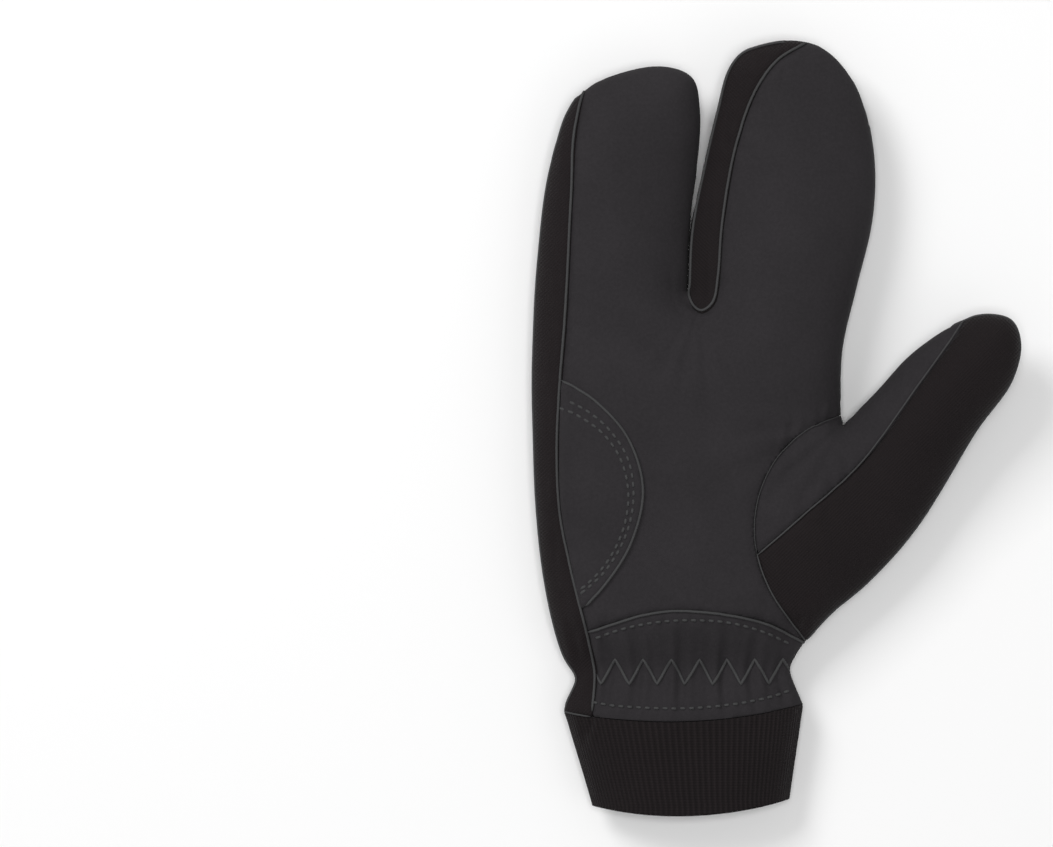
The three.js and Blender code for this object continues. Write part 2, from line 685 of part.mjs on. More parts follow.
// Cuts leave tiny edges and slivers: the edges are closed up and the slivers turned
function tidied(geometry) {
  const place = geometry.getAttribute('position');
  const points = [];
  for (let i = 0; i < place.count; i += 1) points.push(new THREE.Vector3().fromBufferAttribute(place, i));
  const faces = [];
  for (let i = 0; i < geometry.index.count; i += 3) faces.push(Array.from(geometry.index.array.slice(i, i + 3)));
  for (let pass = 0; pass < TIDY_PASSES; pass += 1) {
    const changes = closeShortEdges(points, faces) + turnSlivers(points, faces);
    if (changes === 0) break;
  }
  const kept = faces.filter((face) => face !== null);
  const result = new THREE.BufferGeometry();
  result.setAttribute('position', new THREE.Float32BufferAttribute(points.flatMap((p) => p.toArray()), 3));
  result.setIndex(kept.flat());
  return result;
}

function facesRound(points, faces) {
  const round = points.map(() => new Set());
  faces.forEach((face, f) => {
    if (face !== null) face.forEach((v) => round[v].add(f));
  });
  return round;
}

function faceNormal(points, [a, b, c]) {
  const first = points[b].clone().sub(points[a]);
  return first.cross(points[c].clone().sub(points[a]));
}

const neighbours = (faces, round, v) => new Set([...round[v]].flatMap((f) => faces[f]).filter((w) => w !== v));

function closeShortEdges(points, faces) {
  const round = facesRound(points, faces);
  let changes = 0;
  for (let f = 0; f < faces.length; f += 1) {
    for (let k = 0; k < 3 && faces[f] !== null; k += 1) {
      const keep = faces[f][k];
      const gone = faces[f][(k + 1) % 3];
      if (points[keep].distanceTo(points[gone]) >= SHORT_EDGE) continue;
      const near = neighbours(faces, round, keep);
      const shared = [...neighbours(faces, round, gone)].filter((v) => near.has(v));
      const moved = [...round[gone]].filter((g) => !faces[g].includes(keep));
      const flips = moved.some((g) => {
        const before = faceNormal(points, faces[g]);
        const after = faceNormal(points, faces[g].map((v) => (v === gone ? keep : v)));
        return before.dot(after) <= 0 && before.length() > SHORT_EDGE ** 2;
      });
      if (shared.length !== 2 || flips) continue;
      for (const g of [...round[gone]]) {
        if (faces[g].includes(keep)) {
          faces[g].forEach((v) => round[v].delete(g));
          faces[g] = null;
        } else {
          faces[g] = faces[g].map((v) => (v === gone ? keep : v));
          round[keep].add(g);
        }
      }
      round[gone].clear();
      changes += 1;
    }
  }
  return changes;
}

function turnSlivers(points, faces) {
  const round = facesRound(points, faces);
  let changes = 0;
  faces.forEach((face, f) => {
    if (face === null) return;
    const lengths = face.map((v, k) => points[v].distanceTo(points[face[(k + 1) % 3]]));
    const longest = Math.max(...lengths);
    if (faceNormal(points, face).length() / longest >= THIN_FACE) return;
    const k = lengths.indexOf(longest);
    const [a, b, c] = [face[k], face[(k + 1) % 3], face[(k + 2) % 3]];
    const g = [...round[a]].find((h) => h !== f && faces[h].includes(b));
    const d = faces[g].find((v) => v !== a && v !== b);
    if (neighbours(faces, round, c).has(d)) return;
    faces[f] = [a, d, c];
    faces[g] = [d, b, c];
    round[b].delete(f);
    round[d].add(f);
    round[a].delete(g);
    round[c].add(g);
    changes += 1;
  });
  return changes;
}

function nearestPart(parts, piece) {
  const { x, y } = spot(piece);
  const z = middleHeight(x, y) + (piece.face === 'palm' ? palmHeight(x, y) : -backHeight(x, y));
  const target = new THREE.Vector3(x, y, z);
  const point = new THREE.Vector3();
  let best = null;
  let bestDistance = Infinity;
  for (const part of parts) {
    const place = part.getAttribute('position');
    for (let i = 0; i < place.count; i += 1) {
      const distance = point.fromBufferAttribute(place, i).distanceTo(target);
      if (distance < bestDistance) [best, bestDistance] = [part, distance];
    }
  }
  return best;
}

const shell = stuffedSolid(OUTER_STEPS, HEM, 0).subtract(stuffedSolid(INNER_STEPS, HEM - 0.05, -WALL));
const parts = shell.subtract(seamCutter()).decompose()
  .filter((part) => part.volume() > 1)
  .map(trianglesOf);

const group = new THREE.Group();
group.name = 'lobster_claw_mitt';
function addPiece(name, geometry, colour, roughness) {
  const material = new THREE.MeshStandardMaterial({ color: colour, roughness, metalness: 0 });
  material.name = name;
  const mesh = new THREE.Mesh(toCreasedNormals(geometry, CREASE_ANGLE), material);
  mesh.name = name;
  group.add(mesh);
}
for (const [name, piece] of Object.entries(PIECES)) {
  const part = nearestPart(parts, piece);
  parts.splice(parts.indexOf(part), 1);
  addPiece(name, part, piece.colour, piece.roughness);
}
if (parts.length > 0) throw new Error(`${parts.length} pieces of cloth have no name`);
addPiece('heel_patch', trianglesOf(heelPatch()), 0x302e30, 0.92);

// Origin in the middle of the underside
const bounds = new THREE.Box3().setFromObject(group);
const middle = bounds.getCenter(new THREE.Vector3());
for (const mesh of group.children) mesh.geometry.translate(-middle.x, -middle.y, -bounds.min.z);

export default group;
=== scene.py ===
import math

import bpy
import numpy as np
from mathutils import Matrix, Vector
from mathutils.bvhtree import BVHTree


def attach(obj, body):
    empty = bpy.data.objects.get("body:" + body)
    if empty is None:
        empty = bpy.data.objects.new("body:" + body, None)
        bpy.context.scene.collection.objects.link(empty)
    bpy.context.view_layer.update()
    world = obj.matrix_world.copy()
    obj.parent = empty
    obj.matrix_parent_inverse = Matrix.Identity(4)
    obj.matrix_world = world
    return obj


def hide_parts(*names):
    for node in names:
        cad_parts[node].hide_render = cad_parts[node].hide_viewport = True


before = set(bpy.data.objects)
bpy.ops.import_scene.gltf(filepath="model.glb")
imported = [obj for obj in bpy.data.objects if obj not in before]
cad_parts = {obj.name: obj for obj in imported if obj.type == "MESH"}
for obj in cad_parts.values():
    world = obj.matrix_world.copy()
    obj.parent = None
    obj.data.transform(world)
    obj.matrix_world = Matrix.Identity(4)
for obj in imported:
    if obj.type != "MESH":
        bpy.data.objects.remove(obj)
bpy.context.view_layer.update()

# Sizes in millimetres, as in the construction; plan points are shares of the first two
HAND_LENGTH = 224.0
HALF_PALM = 54.5
DEPTH = 33.0
PALM_ROLL = 0.66 * HALF_PALM
BACK_ROLL = 0.46 * HALF_PALM
FINGER_CURL = 7.0
THUMB_RISE = 9.0
WALL = 2.0
MM = 0.001

HEM = -0.207
HEM_BOW = 0.02
HEM_TILT = 0.011
BOW_END = 0.1
SLIT_END = 0.604
THUMB_HEEL = 0.241

# Outline and seams seen from above: (along, across)
LITTLE_FINGER_RUN = [
    (-0.212, -0.616), (-0.137, -0.705), (-0.075, -0.782), (-0.062, -0.800), (-0.048, -0.779),
    (-0.013, -0.724), (0.000, -0.738), (0.022, -0.797), (0.066, -0.857), (0.209, -0.958),
    (0.462, -1.000), (0.668, -0.961), (0.794, -0.889), (0.889, -0.772), (0.921, -0.668), (0.940, -0.531),
    (0.959, -0.173), (0.941, 0.036), (0.889, 0.088), (0.794, 0.068), (0.699, 0.016), (SLIT_END, 0.007),
]
INDEX_RUN = [
    (SLIT_END, 0.007), (0.699, 0.027), (0.794, 0.101), (0.889, 0.192), (0.953, 0.264), (0.980, 0.346),
    (0.991, 0.447), (1.000, 0.668), (0.986, 0.896), (0.926, 1.104), (0.826, 1.215),
    (0.723, 1.212), (0.609, 1.104), (0.509, 1.013), (0.422, 1.003), (0.391, 1.020),
]
THUMB_RUN = [
    (0.391, 1.020), (0.446, 1.241), (0.500, 1.443), (0.544, 1.691), (0.565, 1.899),
    (0.557, 2.101), (0.521, 2.162), (0.462, 2.107), (0.383, 1.879), (THUMB_HEEL, 1.528),
    (0.146, 1.195), (0.082, 0.896), (0.025, 0.713), (0.004, 0.676), (-0.040, 0.744), (-0.053, 0.764),
    (-0.066, 0.756), (-0.130, 0.715), (-0.201, 0.674),
]
# Half thicknesses as shares of DEPTH: (along, towards the palm, towards the back)
DEPTHS = [
    (-0.230, 0.33, 0.30), (-0.062, 0.36, 0.31), (0.000, 0.34, 0.31), (0.100, 0.48, 0.42),
    (0.400, 0.56, 0.42), (0.620, 0.53, 0.42), (0.800, 0.48, 0.40), (1.000, 0.44, 0.38),
]
TO_PALM, TO_BACK = 1, 2
CUFF_SEAM = [(-0.052, -1.000), (-0.070, -0.629), (-0.078, -0.094), (-0.069, 0.394), (-0.038, 1.000)]
SIDE_STRIP_SEAM = [
    (-0.090, -0.632), (-0.009, -0.596), (0.063, -0.650), (0.146, -0.737), (0.252, -0.824),
    (0.367, -0.844), (0.589, -0.785), (0.763, -0.749), (0.854, -0.730), (0.927, -0.655), (0.960, -0.580),
]
WRIST_SEAM = [
    (0.064, -0.650), (0.093, -0.257), (0.098, 0.023), (0.079, 0.498), (0.050, 0.740), (0.036, 0.850),
]
THUMB_ROOT_PALM = [
    (0.411, 1.080), (0.407, 1.007), (0.375, 0.720), (0.312, 0.511), (0.245, 0.436),
    (0.186, 0.453), (0.127, 0.544), (0.052, 0.765), (0.028, 0.840),
]
THUMB_ROOT_BACK = [
    (0.411, 1.080), (0.407, 1.007), (0.334, 0.909), (0.226, 0.889), (0.163, 0.902),
    (0.106, 0.990), (0.080, 1.060),
]
THUMB_WEDGE_PALM = [
    (0.186, 0.452), (0.247, 0.739), (0.333, 1.130), (0.462, 1.521), (0.554, 1.790), (0.590, 1.880),
]
THUMB_WEDGE_BACK = [(0.290, 0.893), (0.352, 1.153), (0.453, 1.461), (0.554, 1.790), (0.590, 1.880)]
SLIT_LOOP = [
    (0.620, 0.008), (0.597, 0.012), (0.578, 0.049), (0.572, 0.094), (0.585, 0.165),
    (0.625, 0.202), (0.715, 0.231), (0.834, 0.319), (0.921, 0.446),
]
FOURCHETTE_TIP = [(0.968, 0.590), (0.993, 0.759), (1.010, 0.860)]
INDEX_WRAP_TIP = [(0.951, 0.583), (0.960, 0.713), (0.949, 0.889), (0.899, 1.150), (0.872, 1.260)]
RING_WRAP = [
    (0.739, 0.050), (0.760, 0.026), (0.842, 0.010), (0.913, -0.114), (0.926, -0.264),
    (0.896, -0.583), (0.840, -0.850), (0.822, -0.940),
]
HEEL_PATCH_EDGE = [
    (0.470, -0.880), (0.449, -0.713), (0.427, -0.583), (0.372, -0.388), (0.291, -0.290), (0.204, -0.368),
    (0.130, -0.564), (0.092, -0.720),
]

# Steps of the fine skin across and along each part of the hand
STEPS = {"cuff": 100, "root": 34, "knuckles": 48, "pocket": 84, "thumb": 64, "pocket_width": 70}
OUTLINE_SAMPLES, SEAM_SAMPLES, ROW_SAMPLES = 160, 90, 80


def spot(shares):
    """Plan points in millimetres from (along, across) shares."""
    a = np.asarray(shares, float)
    return np.stack([a[..., 1] * HALF_PALM, a[..., 0] * HAND_LENGTH], -1)


def spline(points, count):
    """Centripetal Catmull-Rom curve through the points."""
    p = np.asarray(points, float)
    p = np.vstack([2 * p[0] - p[1], p, 2 * p[-1] - p[-2]])
    spans = len(p) - 3
    out = []
    for k in range(count + 1):
        t = spans * k / count
        i = min(int(t), spans - 1)
        w = t - i
        p0, p1, p2, p3 = p[i : i + 4]
        d0, d1, d2 = (math.sqrt(np.linalg.norm(b - a)) for a, b in ((p0, p1), (p1, p2), (p2, p3)))
        m1 = ((p1 - p0) / d0 - (p2 - p0) / (d0 + d1) + (p2 - p1) / d1) * d1
        m2 = ((p2 - p1) / d1 - (p3 - p1) / (d1 + d2) + (p3 - p2) / d2) * d1
        out.append(
            (2 * w**3 - 3 * w**2 + 1) * p1 + (w**3 - 2 * w**2 + w) * m1
            + (3 * w**2 - 2 * w**3) * p2 + (w**3 - w**2) * m2
        )
    return np.array(out)


def curve(table, count=OUTLINE_SAMPLES):
    return spline(spot(table), count)


def travelled(points):
    """How far along a line each of its points lies."""
    return np.concatenate([[0], np.cumsum(np.linalg.norm(np.diff(points, axis=0), axis=1))])


def directions(points):
    """Unit direction of a line at each of its points."""
    tangent = np.gradient(points, axis=0)
    return tangent / np.linalg.norm(tangent, axis=1)[:, None]


def resample(points, step):
    """The same line with points about one step apart."""
    length = travelled(points)
    count = max(int(round(length[-1] / step)), 2)
    at = np.linspace(0, length[-1], count + 1)
    return np.stack([np.interp(at, length, points[:, k]) for k in range(points.shape[1])], 1)


little_run, index_run, thumb_run = (curve(t) for t in (LITTLE_FINGER_RUN, INDEX_RUN, THUMB_RUN))
crotch = thumb_run[0]
THUMB_LEAN = 0.73
THUMB_AXIS = np.array([math.sin(THUMB_LEAN), math.cos(THUMB_LEAN)])
little_tip = int(little_run[:, 1].argmax())
index_tip = int(index_run[:, 1].argmax())
thumb_tip = int(((thumb_run - crotch) @ THUMB_AXIS).argmax())
# The middle of the whole mitt in plan
ORIGIN = np.array([31.60, 86.55])


def across_at(points, y):
    """Across position of a rising run at height y."""
    return np.interp(y, points[:, 1], points[:, 0])


def rising(points):
    return points if points[-1, 1] > points[0, 1] else points[::-1]


side_little = rising(little_run[: little_tip + 1])
side_ring_inner = rising(little_run[little_tip:])
side_index_inner = rising(index_run[: index_tip + 1])
side_index_outer = rising(index_run[index_tip:])
thumb_inner_run = thumb_run[: thumb_tip + 1]
thumb_outer_run = thumb_run[thumb_tip:][::-1]
heel_y = THUMB_HEEL * HAND_LENGTH
heel_point = np.array([across_at(thumb_outer_run, heel_y), heel_y])


def hand_right(y):
    """The hand's edge on the thumb side: cuff, thumb root and index pocket."""
    y = np.asarray(y, float)
    root = heel_point[0] + (crotch[0] - heel_point[0]) * (y - heel_y) / (crotch[1] - heel_y)
    below, above = across_at(thumb_outer_run, y), across_at(side_index_outer, y)
    return np.where(y <= heel_y, below, np.where(y <= crotch[1], root, above))


# Soft distance to the outline, as in the construction
past_hem = np.array([0.0, -HAND_LENGTH])
runs = [little_run, index_run, thumb_run]
runs += [np.array([p, p + past_hem]) for p in (little_run[0], thumb_run[-1])]
SEG_A = np.vstack([r[:-1] for r in runs])
SEG_B = np.vstack([r[1:] for r in runs])
SEG_L = np.linalg.norm(SEG_B - SEG_A, axis=1)
keep = SEG_L > 1e-6
SEG_A, SEG_B, SEG_L = SEG_A[keep], SEG_B[keep], SEG_L[keep]
SEG_U = (SEG_B - SEG_A) / SEG_L[:, None]
CHUNK = 3000


def soft_distance(p):
    """Distance to the outline, blended smoothly where several parts of it are near."""
    out = np.empty(len(p))
    for s in range(0, len(p), CHUNK):
        rel = SEG_A[None] - p[s : s + CHUNK, None]
        start = (rel * SEG_U[None]).sum(2)
        off = np.maximum(0.05, np.abs(rel[..., 0] * SEG_U[:, 1] - rel[..., 1] * SEG_U[:, 0]))

        def up_to(v):
            return v / (2 * off**2 * (off**2 + v**2)) + np.arctan(v / off) / (2 * off**3)

        total = (up_to(start + SEG_L) - up_to(start)).sum(1)
        out[s : s + CHUNK] = np.cbrt(math.pi / 2 / np.maximum(total, 1e-12))
    return out


def smoothstep(x, low, high):
    t = np.clip((np.asarray(x, float) - low) / (high - low), 0, 1)
    return t * t * (3 - 2 * t)


def depth_share(y, column):
    """Half thickness at height y, as a share of DEPTH: towards the palm or towards the back."""
    along = y / HAND_LENGTH
    rows = np.array(DEPTHS)
    k = np.clip(np.searchsorted(rows[:, 0], along) - 1, 0, len(rows) - 2)
    w = smoothstep(along, rows[k, 0], rows[k + 1, 0])
    return rows[k, column] * (1 - w) + rows[k + 1, column] * w


def rounded(distance, roll):
    """The share of full height at a distance from the outline: a quarter circle, then flat."""
    return np.sqrt(np.maximum(1 - (1 - np.minimum(distance / roll, 1)) ** 2, 0))


root_normal = np.array([crotch[1] - heel_point[1], heel_point[0] - crotch[0]])
root_normal /= np.linalg.norm(root_normal)
thumb_reach = float((thumb_run[thumb_tip] - crotch) @ root_normal)
parting = spot((0.6, 1.5)) - crotch


def middle_height(p):
    """Height of the surface midway between palm and back, where the outline lies."""
    lift = FINGER_CURL * smoothstep(p[:, 1] / HAND_LENGTH, SLIT_END, 1.15)
    rel = p - crotch
    out = rel @ root_normal
    in_thumb = (out > 0) & (parting[0] * rel[:, 1] - parting[1] * rel[:, 0] < 0)
    rise = np.where(in_thumb, THUMB_RISE * smoothstep(out / thumb_reach, 0, 1), lift)
    return DEPTH * depth_share(p[:, 1], TO_BACK) + rise


PALM, BACK = 1, -1


def base_height(p, face):
    d = soft_distance(p)
    if face == PALM:
        return middle_height(p) + DEPTH * depth_share(p[:, 1], TO_PALM) * rounded(d, PALM_ROLL)
    return middle_height(p) - DEPTH * depth_share(p[:, 1], TO_BACK) * rounded(d, BACK_ROLL)


# Lines and regions in plan
def line_distance(p, line):
    """Distance to a line, and how far along it the nearest point lies."""
    a, b = line[:-1], line[1:]
    ab = b - a
    length = np.linalg.norm(ab, axis=1)
    before = np.concatenate([[0], np.cumsum(length)[:-1]])
    best = np.full(len(p), 1e9)
    along = np.zeros(len(p))
    for s in range(0, len(p), CHUNK):
        q = p[s : s + CHUNK, None]
        t = np.clip(((q - a) * ab).sum(2) / np.maximum(length**2, 1e-9), 0, 1)
        d = np.linalg.norm(q - a - t[..., None] * ab, axis=2)
        k = d.argmin(1)
        rows = np.arange(len(k))
        best[s : s + CHUNK] = d[rows, k]
        along[s : s + CHUNK] = before[k] + t[rows, k] * length[k]
    return best, along


def inside(p, polygon):
    """Which points lie inside a polygon."""
    out = np.zeros(len(p), bool)
    a, b = polygon, np.roll(polygon, -1, 0)
    for (ax, ay), (bx, by) in zip(a, b):
        if ay == by:
            continue
        crosses = (ay > p[:, 1]) != (by > p[:, 1])
        x = ax + (p[:, 1] - ay) * (bx - ax) / (by - ay)
        out ^= crosses & (p[:, 0] < x)
    return out


def region(p, table, closing):
    """Signed distance to a seam, positive on the side closed off by the closing points."""
    seam = curve(table, SEAM_SAMPLES)
    d, _ = line_distance(p, seam)
    polygon = np.vstack([seam, spot(closing)])
    return np.where(inside(p, polygon), d, -d)


def slit_middle(levels):
    """Shares of the points midway between the two pockets, at these heights."""
    y = np.array(levels) * HAND_LENGTH
    x = (across_at(side_ring_inner, y) + across_at(side_index_inner, y)) / 2
    return [(a, b / HALF_PALM) for a, b in zip(levels, x)]


BELOW = [(-0.4, 1.3), (-0.4, -1.3)]
ROUND_THUMB = [(0.0, 1.0), (0.0, 2.6), (0.8, 2.6), (0.6, 1.5), (0.46, 1.15)]
SLIT_DOWN = slit_middle([0.92, 0.88, 0.84, 0.80, 0.76, 0.72, 0.68, 0.64])
SEAM_LINES = {
    PALM: {
        "strip": (SIDE_STRIP_SEAM, [(1.1, -0.6), (1.1, -1.6), (-0.3, -1.6), (-0.3, -0.632)]),
        "wrist": (WRIST_SEAM, [(0.036, 1.3), *BELOW, (0.064, -1.3)]),
        "cuff": (CUFF_SEAM, BELOW),
        "thumb": (THUMB_ROOT_PALM, ROUND_THUMB),
        "wedge": (THUMB_WEDGE_PALM, [(0.8, 1.9), (0.8, 0.2), (0.186, 0.2)]),
        "fourchette": (SLIT_LOOP + FOURCHETTE_TIP, [(1.1, 0.6), (1.1, 0.2), *SLIT_DOWN]),
    },
    BACK: {
        "cuff": (CUFF_SEAM, BELOW),
        "thumb": (THUMB_ROOT_BACK, ROUND_THUMB),
        "wedge": (THUMB_WEDGE_BACK, [(0.8, 1.9), (0.8, 0.5), (0.29, 0.5)]),
        "index_wrap": (SLIT_LOOP + INDEX_WRAP_TIP, [(1.1, 1.4), (1.1, 0.2), *SLIT_DOWN]),
        "ring_wrap": (RING_WRAP, [(1.1, -1.0), (1.1, 0.2), *SLIT_DOWN[:5]]),
    },
}


def seam_fields(p, face):
    return {name: region(p, *spec) for name, spec in SEAM_LINES[face].items()}


def least(*fields):
    return np.minimum.reduce(fields)


def piece_fields(f, face):
    """For each piece, a field that is positive on it: about the distance to its nearest seam."""
    hand = -f["cuff"]
    if face == PALM:
        thumb = least(hand, f["thumb"])
        main = least(hand, -f["thumb"], -f["strip"], -f["fourchette"])
        return {
            "knit_cuff": f["cuff"],
            "back_panel": least(hand, f["strip"]),
            "wrist_panel": least(main, f["wrist"]),
            "thumb_inner": least(thumb, f["wedge"]),
            "thumb_outer": least(thumb, -f["wedge"]),
            "index_fourchette": f["fourchette"],
            "palm_panel": least(main, -f["wrist"]),
        }
    thumb = least(hand, f["thumb"])
    wraps = np.maximum(f["index_wrap"], f["ring_wrap"])
    return {
        "knit_cuff": f["cuff"],
        "thumb_inner": least(thumb, f["wedge"]),
        "thumb_outer": least(thumb, -f["wedge"]),
        "palm_panel": wraps,
        "back_panel": least(hand, -f["thumb"], -wraps),
    }


# Rows of stitches, read off the drawing
PX_ALONG = 1 / 632
PX_ACROSS = 1 / 153.5
ZERO_PX = (686.5, 672.0)
BOTH_VIEWS_PX = 1046  # a point's columns in the two views add up to this


def from_picture(points):
    """Shares of a seam read off the palm view, in its pixels."""
    return [((ZERO_PX[1] - y) * PX_ALONG, (x - ZERO_PX[0]) * PX_ACROSS) for x, y in points]


def from_back_picture(points):
    """The same for the back view, which is the mirror image."""
    return from_picture([(BOTH_VIEWS_PX - x, y) for x, y in points])


PATCH_ROW_OUTER = from_picture([
    (562, 397), (590, 412), (610, 430), (627, 457), (633, 490), (630, 520), (620, 547), (603, 573),
    (581, 594),
])
PATCH_ROW_INNER = from_picture([
    (560, 407), (580, 416), (603, 433), (620, 458), (627.5, 490), (625, 520), (615, 547), (600, 570),
    (578, 592),
])
WRIST_ROW = from_picture([
    (586.4, 640.4), (625, 627), (660, 620.5), (690, 619), (725, 621), (760, 630), (795, 646),
])
CUFF_ROW = from_picture([
    (591, 701.6), (613, 705), (663, 707.5), (697, 707), (743, 702), (777, 694.5), (797, 687.5),
])
BACK_WRIST_ROW = from_back_picture([
    (249, 658), (297, 667), (348, 674.5), (399, 677), (433, 676), (470, 673),
])
INDEX_WRAP_ROW = from_back_picture([
    (207, 69), (226, 59), (250, 55), (270, 59), (287, 73), (301, 96), (313, 130), (321, 166), (328, 206),
    (333, 247), (338, 274), (343, 287), (348, 291), (352, 290),
])
RING_WRAP_ROW = from_back_picture([
    (351, 180), (352.5, 136), (358, 112), (367, 93.5), (382, 83), (402, 79.8), (426, 83), (450, 94.5),
    (472, 111),
])
ZIGZAG_PITCH = 27.85
ZIGZAG_LOW, ZIGZAG_HIGH = (601, 683.5), (615.4, 658.5)
zigzag_points = [(596.5, 674)]
for k in range(7):
    zigzag_points += [(x + ZIGZAG_PITCH * k, y) for x, y in (ZIGZAG_LOW, ZIGZAG_HIGH)]
zigzag_points.append((795, 681))
ZIGZAG = from_picture(zigzag_points)
ELASTIC_Y = PX_ALONG * HAND_LENGTH

DASHED_ROWS = [
    ("patch", PATCH_ROW_OUTER, PALM), ("patch", PATCH_ROW_INNER, PALM), ("palm", WRIST_ROW, PALM),
    ("palm", CUFF_ROW, PALM), ("back", BACK_WRIST_ROW, BACK), ("wrap", INDEX_WRAP_ROW, BACK),
    ("wrap", RING_WRAP_ROW, BACK),
]

# Cloth relief in millimetres: each height with its width, reach or wave lengths
GROOVE, GROOVE_WIDTH = -0.75, 1.3
DIP, DIP_REACH = -0.6, 7.0
CUFF_SEAM_OFF = 1.2  # the cuff seam is stretched flat, so it dips less than the others
PUCKER, PUCKER_AT, PUCKER_WIDTH, PUCKER_WAVES = 0.26, 3.2, 2.6, (5.0, 10.0, 6)
FOLD, FOLD_WAVES = 0.42, (28.0, 60.0, 7)
SUNK_ROW, SUNK_ROW_WIDTH, STITCH_PITCH = -0.28, 1.2, 3.12
ELASTIC_DIP, ELASTIC_WIDTH, GATHER_REACH = -0.6, 5.0, 26.0
# Gathers: height, wave length, phase, wander and the wander's length
GATHERS = [(0.6, 8.2, 0.0, 0.8, 9.0), (0.4, 5.1, 1.3, 0.6, 13.0)]
GATHER_SHARE = {1: 1.0, -1: 0.5}
# Drag lines: centre, direction and spread in degrees, reach and height in millimetres
DRAG_PITCH = math.radians(19)
DRAG_LINES = [
    ((0.400, 1.030), 215, 34, 28, 0.50),
    ((0.585, 0.070), 268, 40, 24, 0.35),
    ((0.060, 0.760), 130, 30, 22, 0.40),
]


def waves(p, seed, low, high, count):
    """A smooth bumpy field from a few seeded plane waves, about -1 to 1."""
    rng = np.random.default_rng(seed)
    total = np.zeros(len(p))
    for _ in range(count):
        length = rng.uniform(low, high)
        turn = rng.uniform(0, math.pi)
        phase = rng.uniform(0, 2 * math.pi)
        k = 2 * math.pi / length
        total += np.sin(k * (p[:, 0] * math.cos(turn) + p[:, 1] * math.sin(turn)) + phase)
    return total / math.sqrt(count)


def hump(x, width):
    """A smooth hump of height 1 at zero."""
    return np.exp(-((x / width) ** 2))


def cloth_relief(p, face):
    """Seam grooves, puckers, folds, gathers and sunk stitches of one face, in millimetres."""
    f = seam_fields(p, face)
    nearest = least(*[np.abs(v) + (CUFF_SEAM_OFF if name == "cuff" else 0.0) for name, v in f.items()])
    out = GROOVE * hump(nearest, GROOVE_WIDTH) + DIP * np.exp(-nearest / DIP_REACH)
    out += PUCKER * hump(nearest - PUCKER_AT, PUCKER_WIDTH) * waves(p, 5 + face, *PUCKER_WAVES)
    out += FOLD * waves(p, 11 + face, *FOLD_WAVES)

    # Drag lines that fan out from the thumb crotch and from the foot of the parting
    for centre_at, turn, spread_by, reach_at, height in DRAG_LINES:
        rel = p - spot(centre_at)
        r = np.linalg.norm(rel, axis=1)
        turned = (np.arctan2(rel[:, 1], rel[:, 0]) - math.radians(turn) + math.pi) % (2 * math.pi) - math.pi
        fan = hump(turned, math.radians(spread_by)) * hump(r - reach_at, 0.6 * reach_at)
        out += height * fan * np.cos(turned * 2 * math.pi / DRAG_PITCH)

    # Gathers over the elastic, strongest at its line and fanning out above and below it
    off = np.abs(p[:, 1] - ELASTIC_Y)
    centre = 1.0 - smoothstep(off, 2.0, GATHER_REACH)
    on_hand = smoothstep(-f["cuff"], 0.0, 5.0)
    u = p[:, 0] / (1 + 0.006 * off)
    pleats = sum(high * np.sin(2 * math.pi * u / length + phase + wander * np.sin(u / slow))
                 for high, length, phase, wander, slow in GATHERS)
    out += GATHER_SHARE[face] * centre * on_hand * pleats
    out += ELASTIC_DIP * hump(off, ELASTIC_WIDTH) * on_hand

    for kind, table, row_face in DASHED_ROWS:
        if row_face == face:
            d, along = line_distance(p, curve(table, ROW_SAMPLES))
            beat = 0.75 + 0.25 * np.cos(2 * math.pi * along / STITCH_PITCH)
            out += SUNK_ROW * hump(d, SUNK_ROW_WIDTH) * beat
    return out


EDGE_SHARE, EDGE_REACH = 0.3, 6.0  # how much relief is left at the outline, and how far in it is whole
POCKET_GAP, POCKET_ROLL = 1.2, 2.5  # widest half gap between touching pockets, and how far they round


def relief(p, face):
    """How far the cloth stands out of the smooth form, in millimetres."""
    own, other = cloth_relief(p, face), cloth_relief(p, -face)
    # The outline itself stays where it was drawn, and both faces meet in it
    inward = smoothstep(soft_distance(p), 0.0, EDGE_REACH)
    out = EDGE_SHARE * (own + other) / 2 * (1 - inward) + own * inward

    # Below the parting of the fingers the two pockets lie against each other
    ring_side, index_side = across_at(side_ring_inner, p[:, 1]), across_at(side_index_inner, p[:, 1])
    half_gap = np.clip((index_side - ring_side) / 2, 0, POCKET_GAP)
    off_side = np.abs(p[:, 0] - (index_side + ring_side) / 2) - half_gap
    along = p[:, 1] / HAND_LENGTH
    near = hump(off_side, POCKET_ROLL) * (1 - smoothstep(along, 0.69, 0.75))
    near *= smoothstep(along, 0.585, SLIT_END)
    return out + (half_gap - 0.05 - out) * near


# The fine skin in plan: points with shared borders and quads between them
def ease(n):
    """Steps from 0 to 1, finer towards both ends."""
    return (1 - np.cos(math.pi * np.arange(n + 1) / n)) / 2


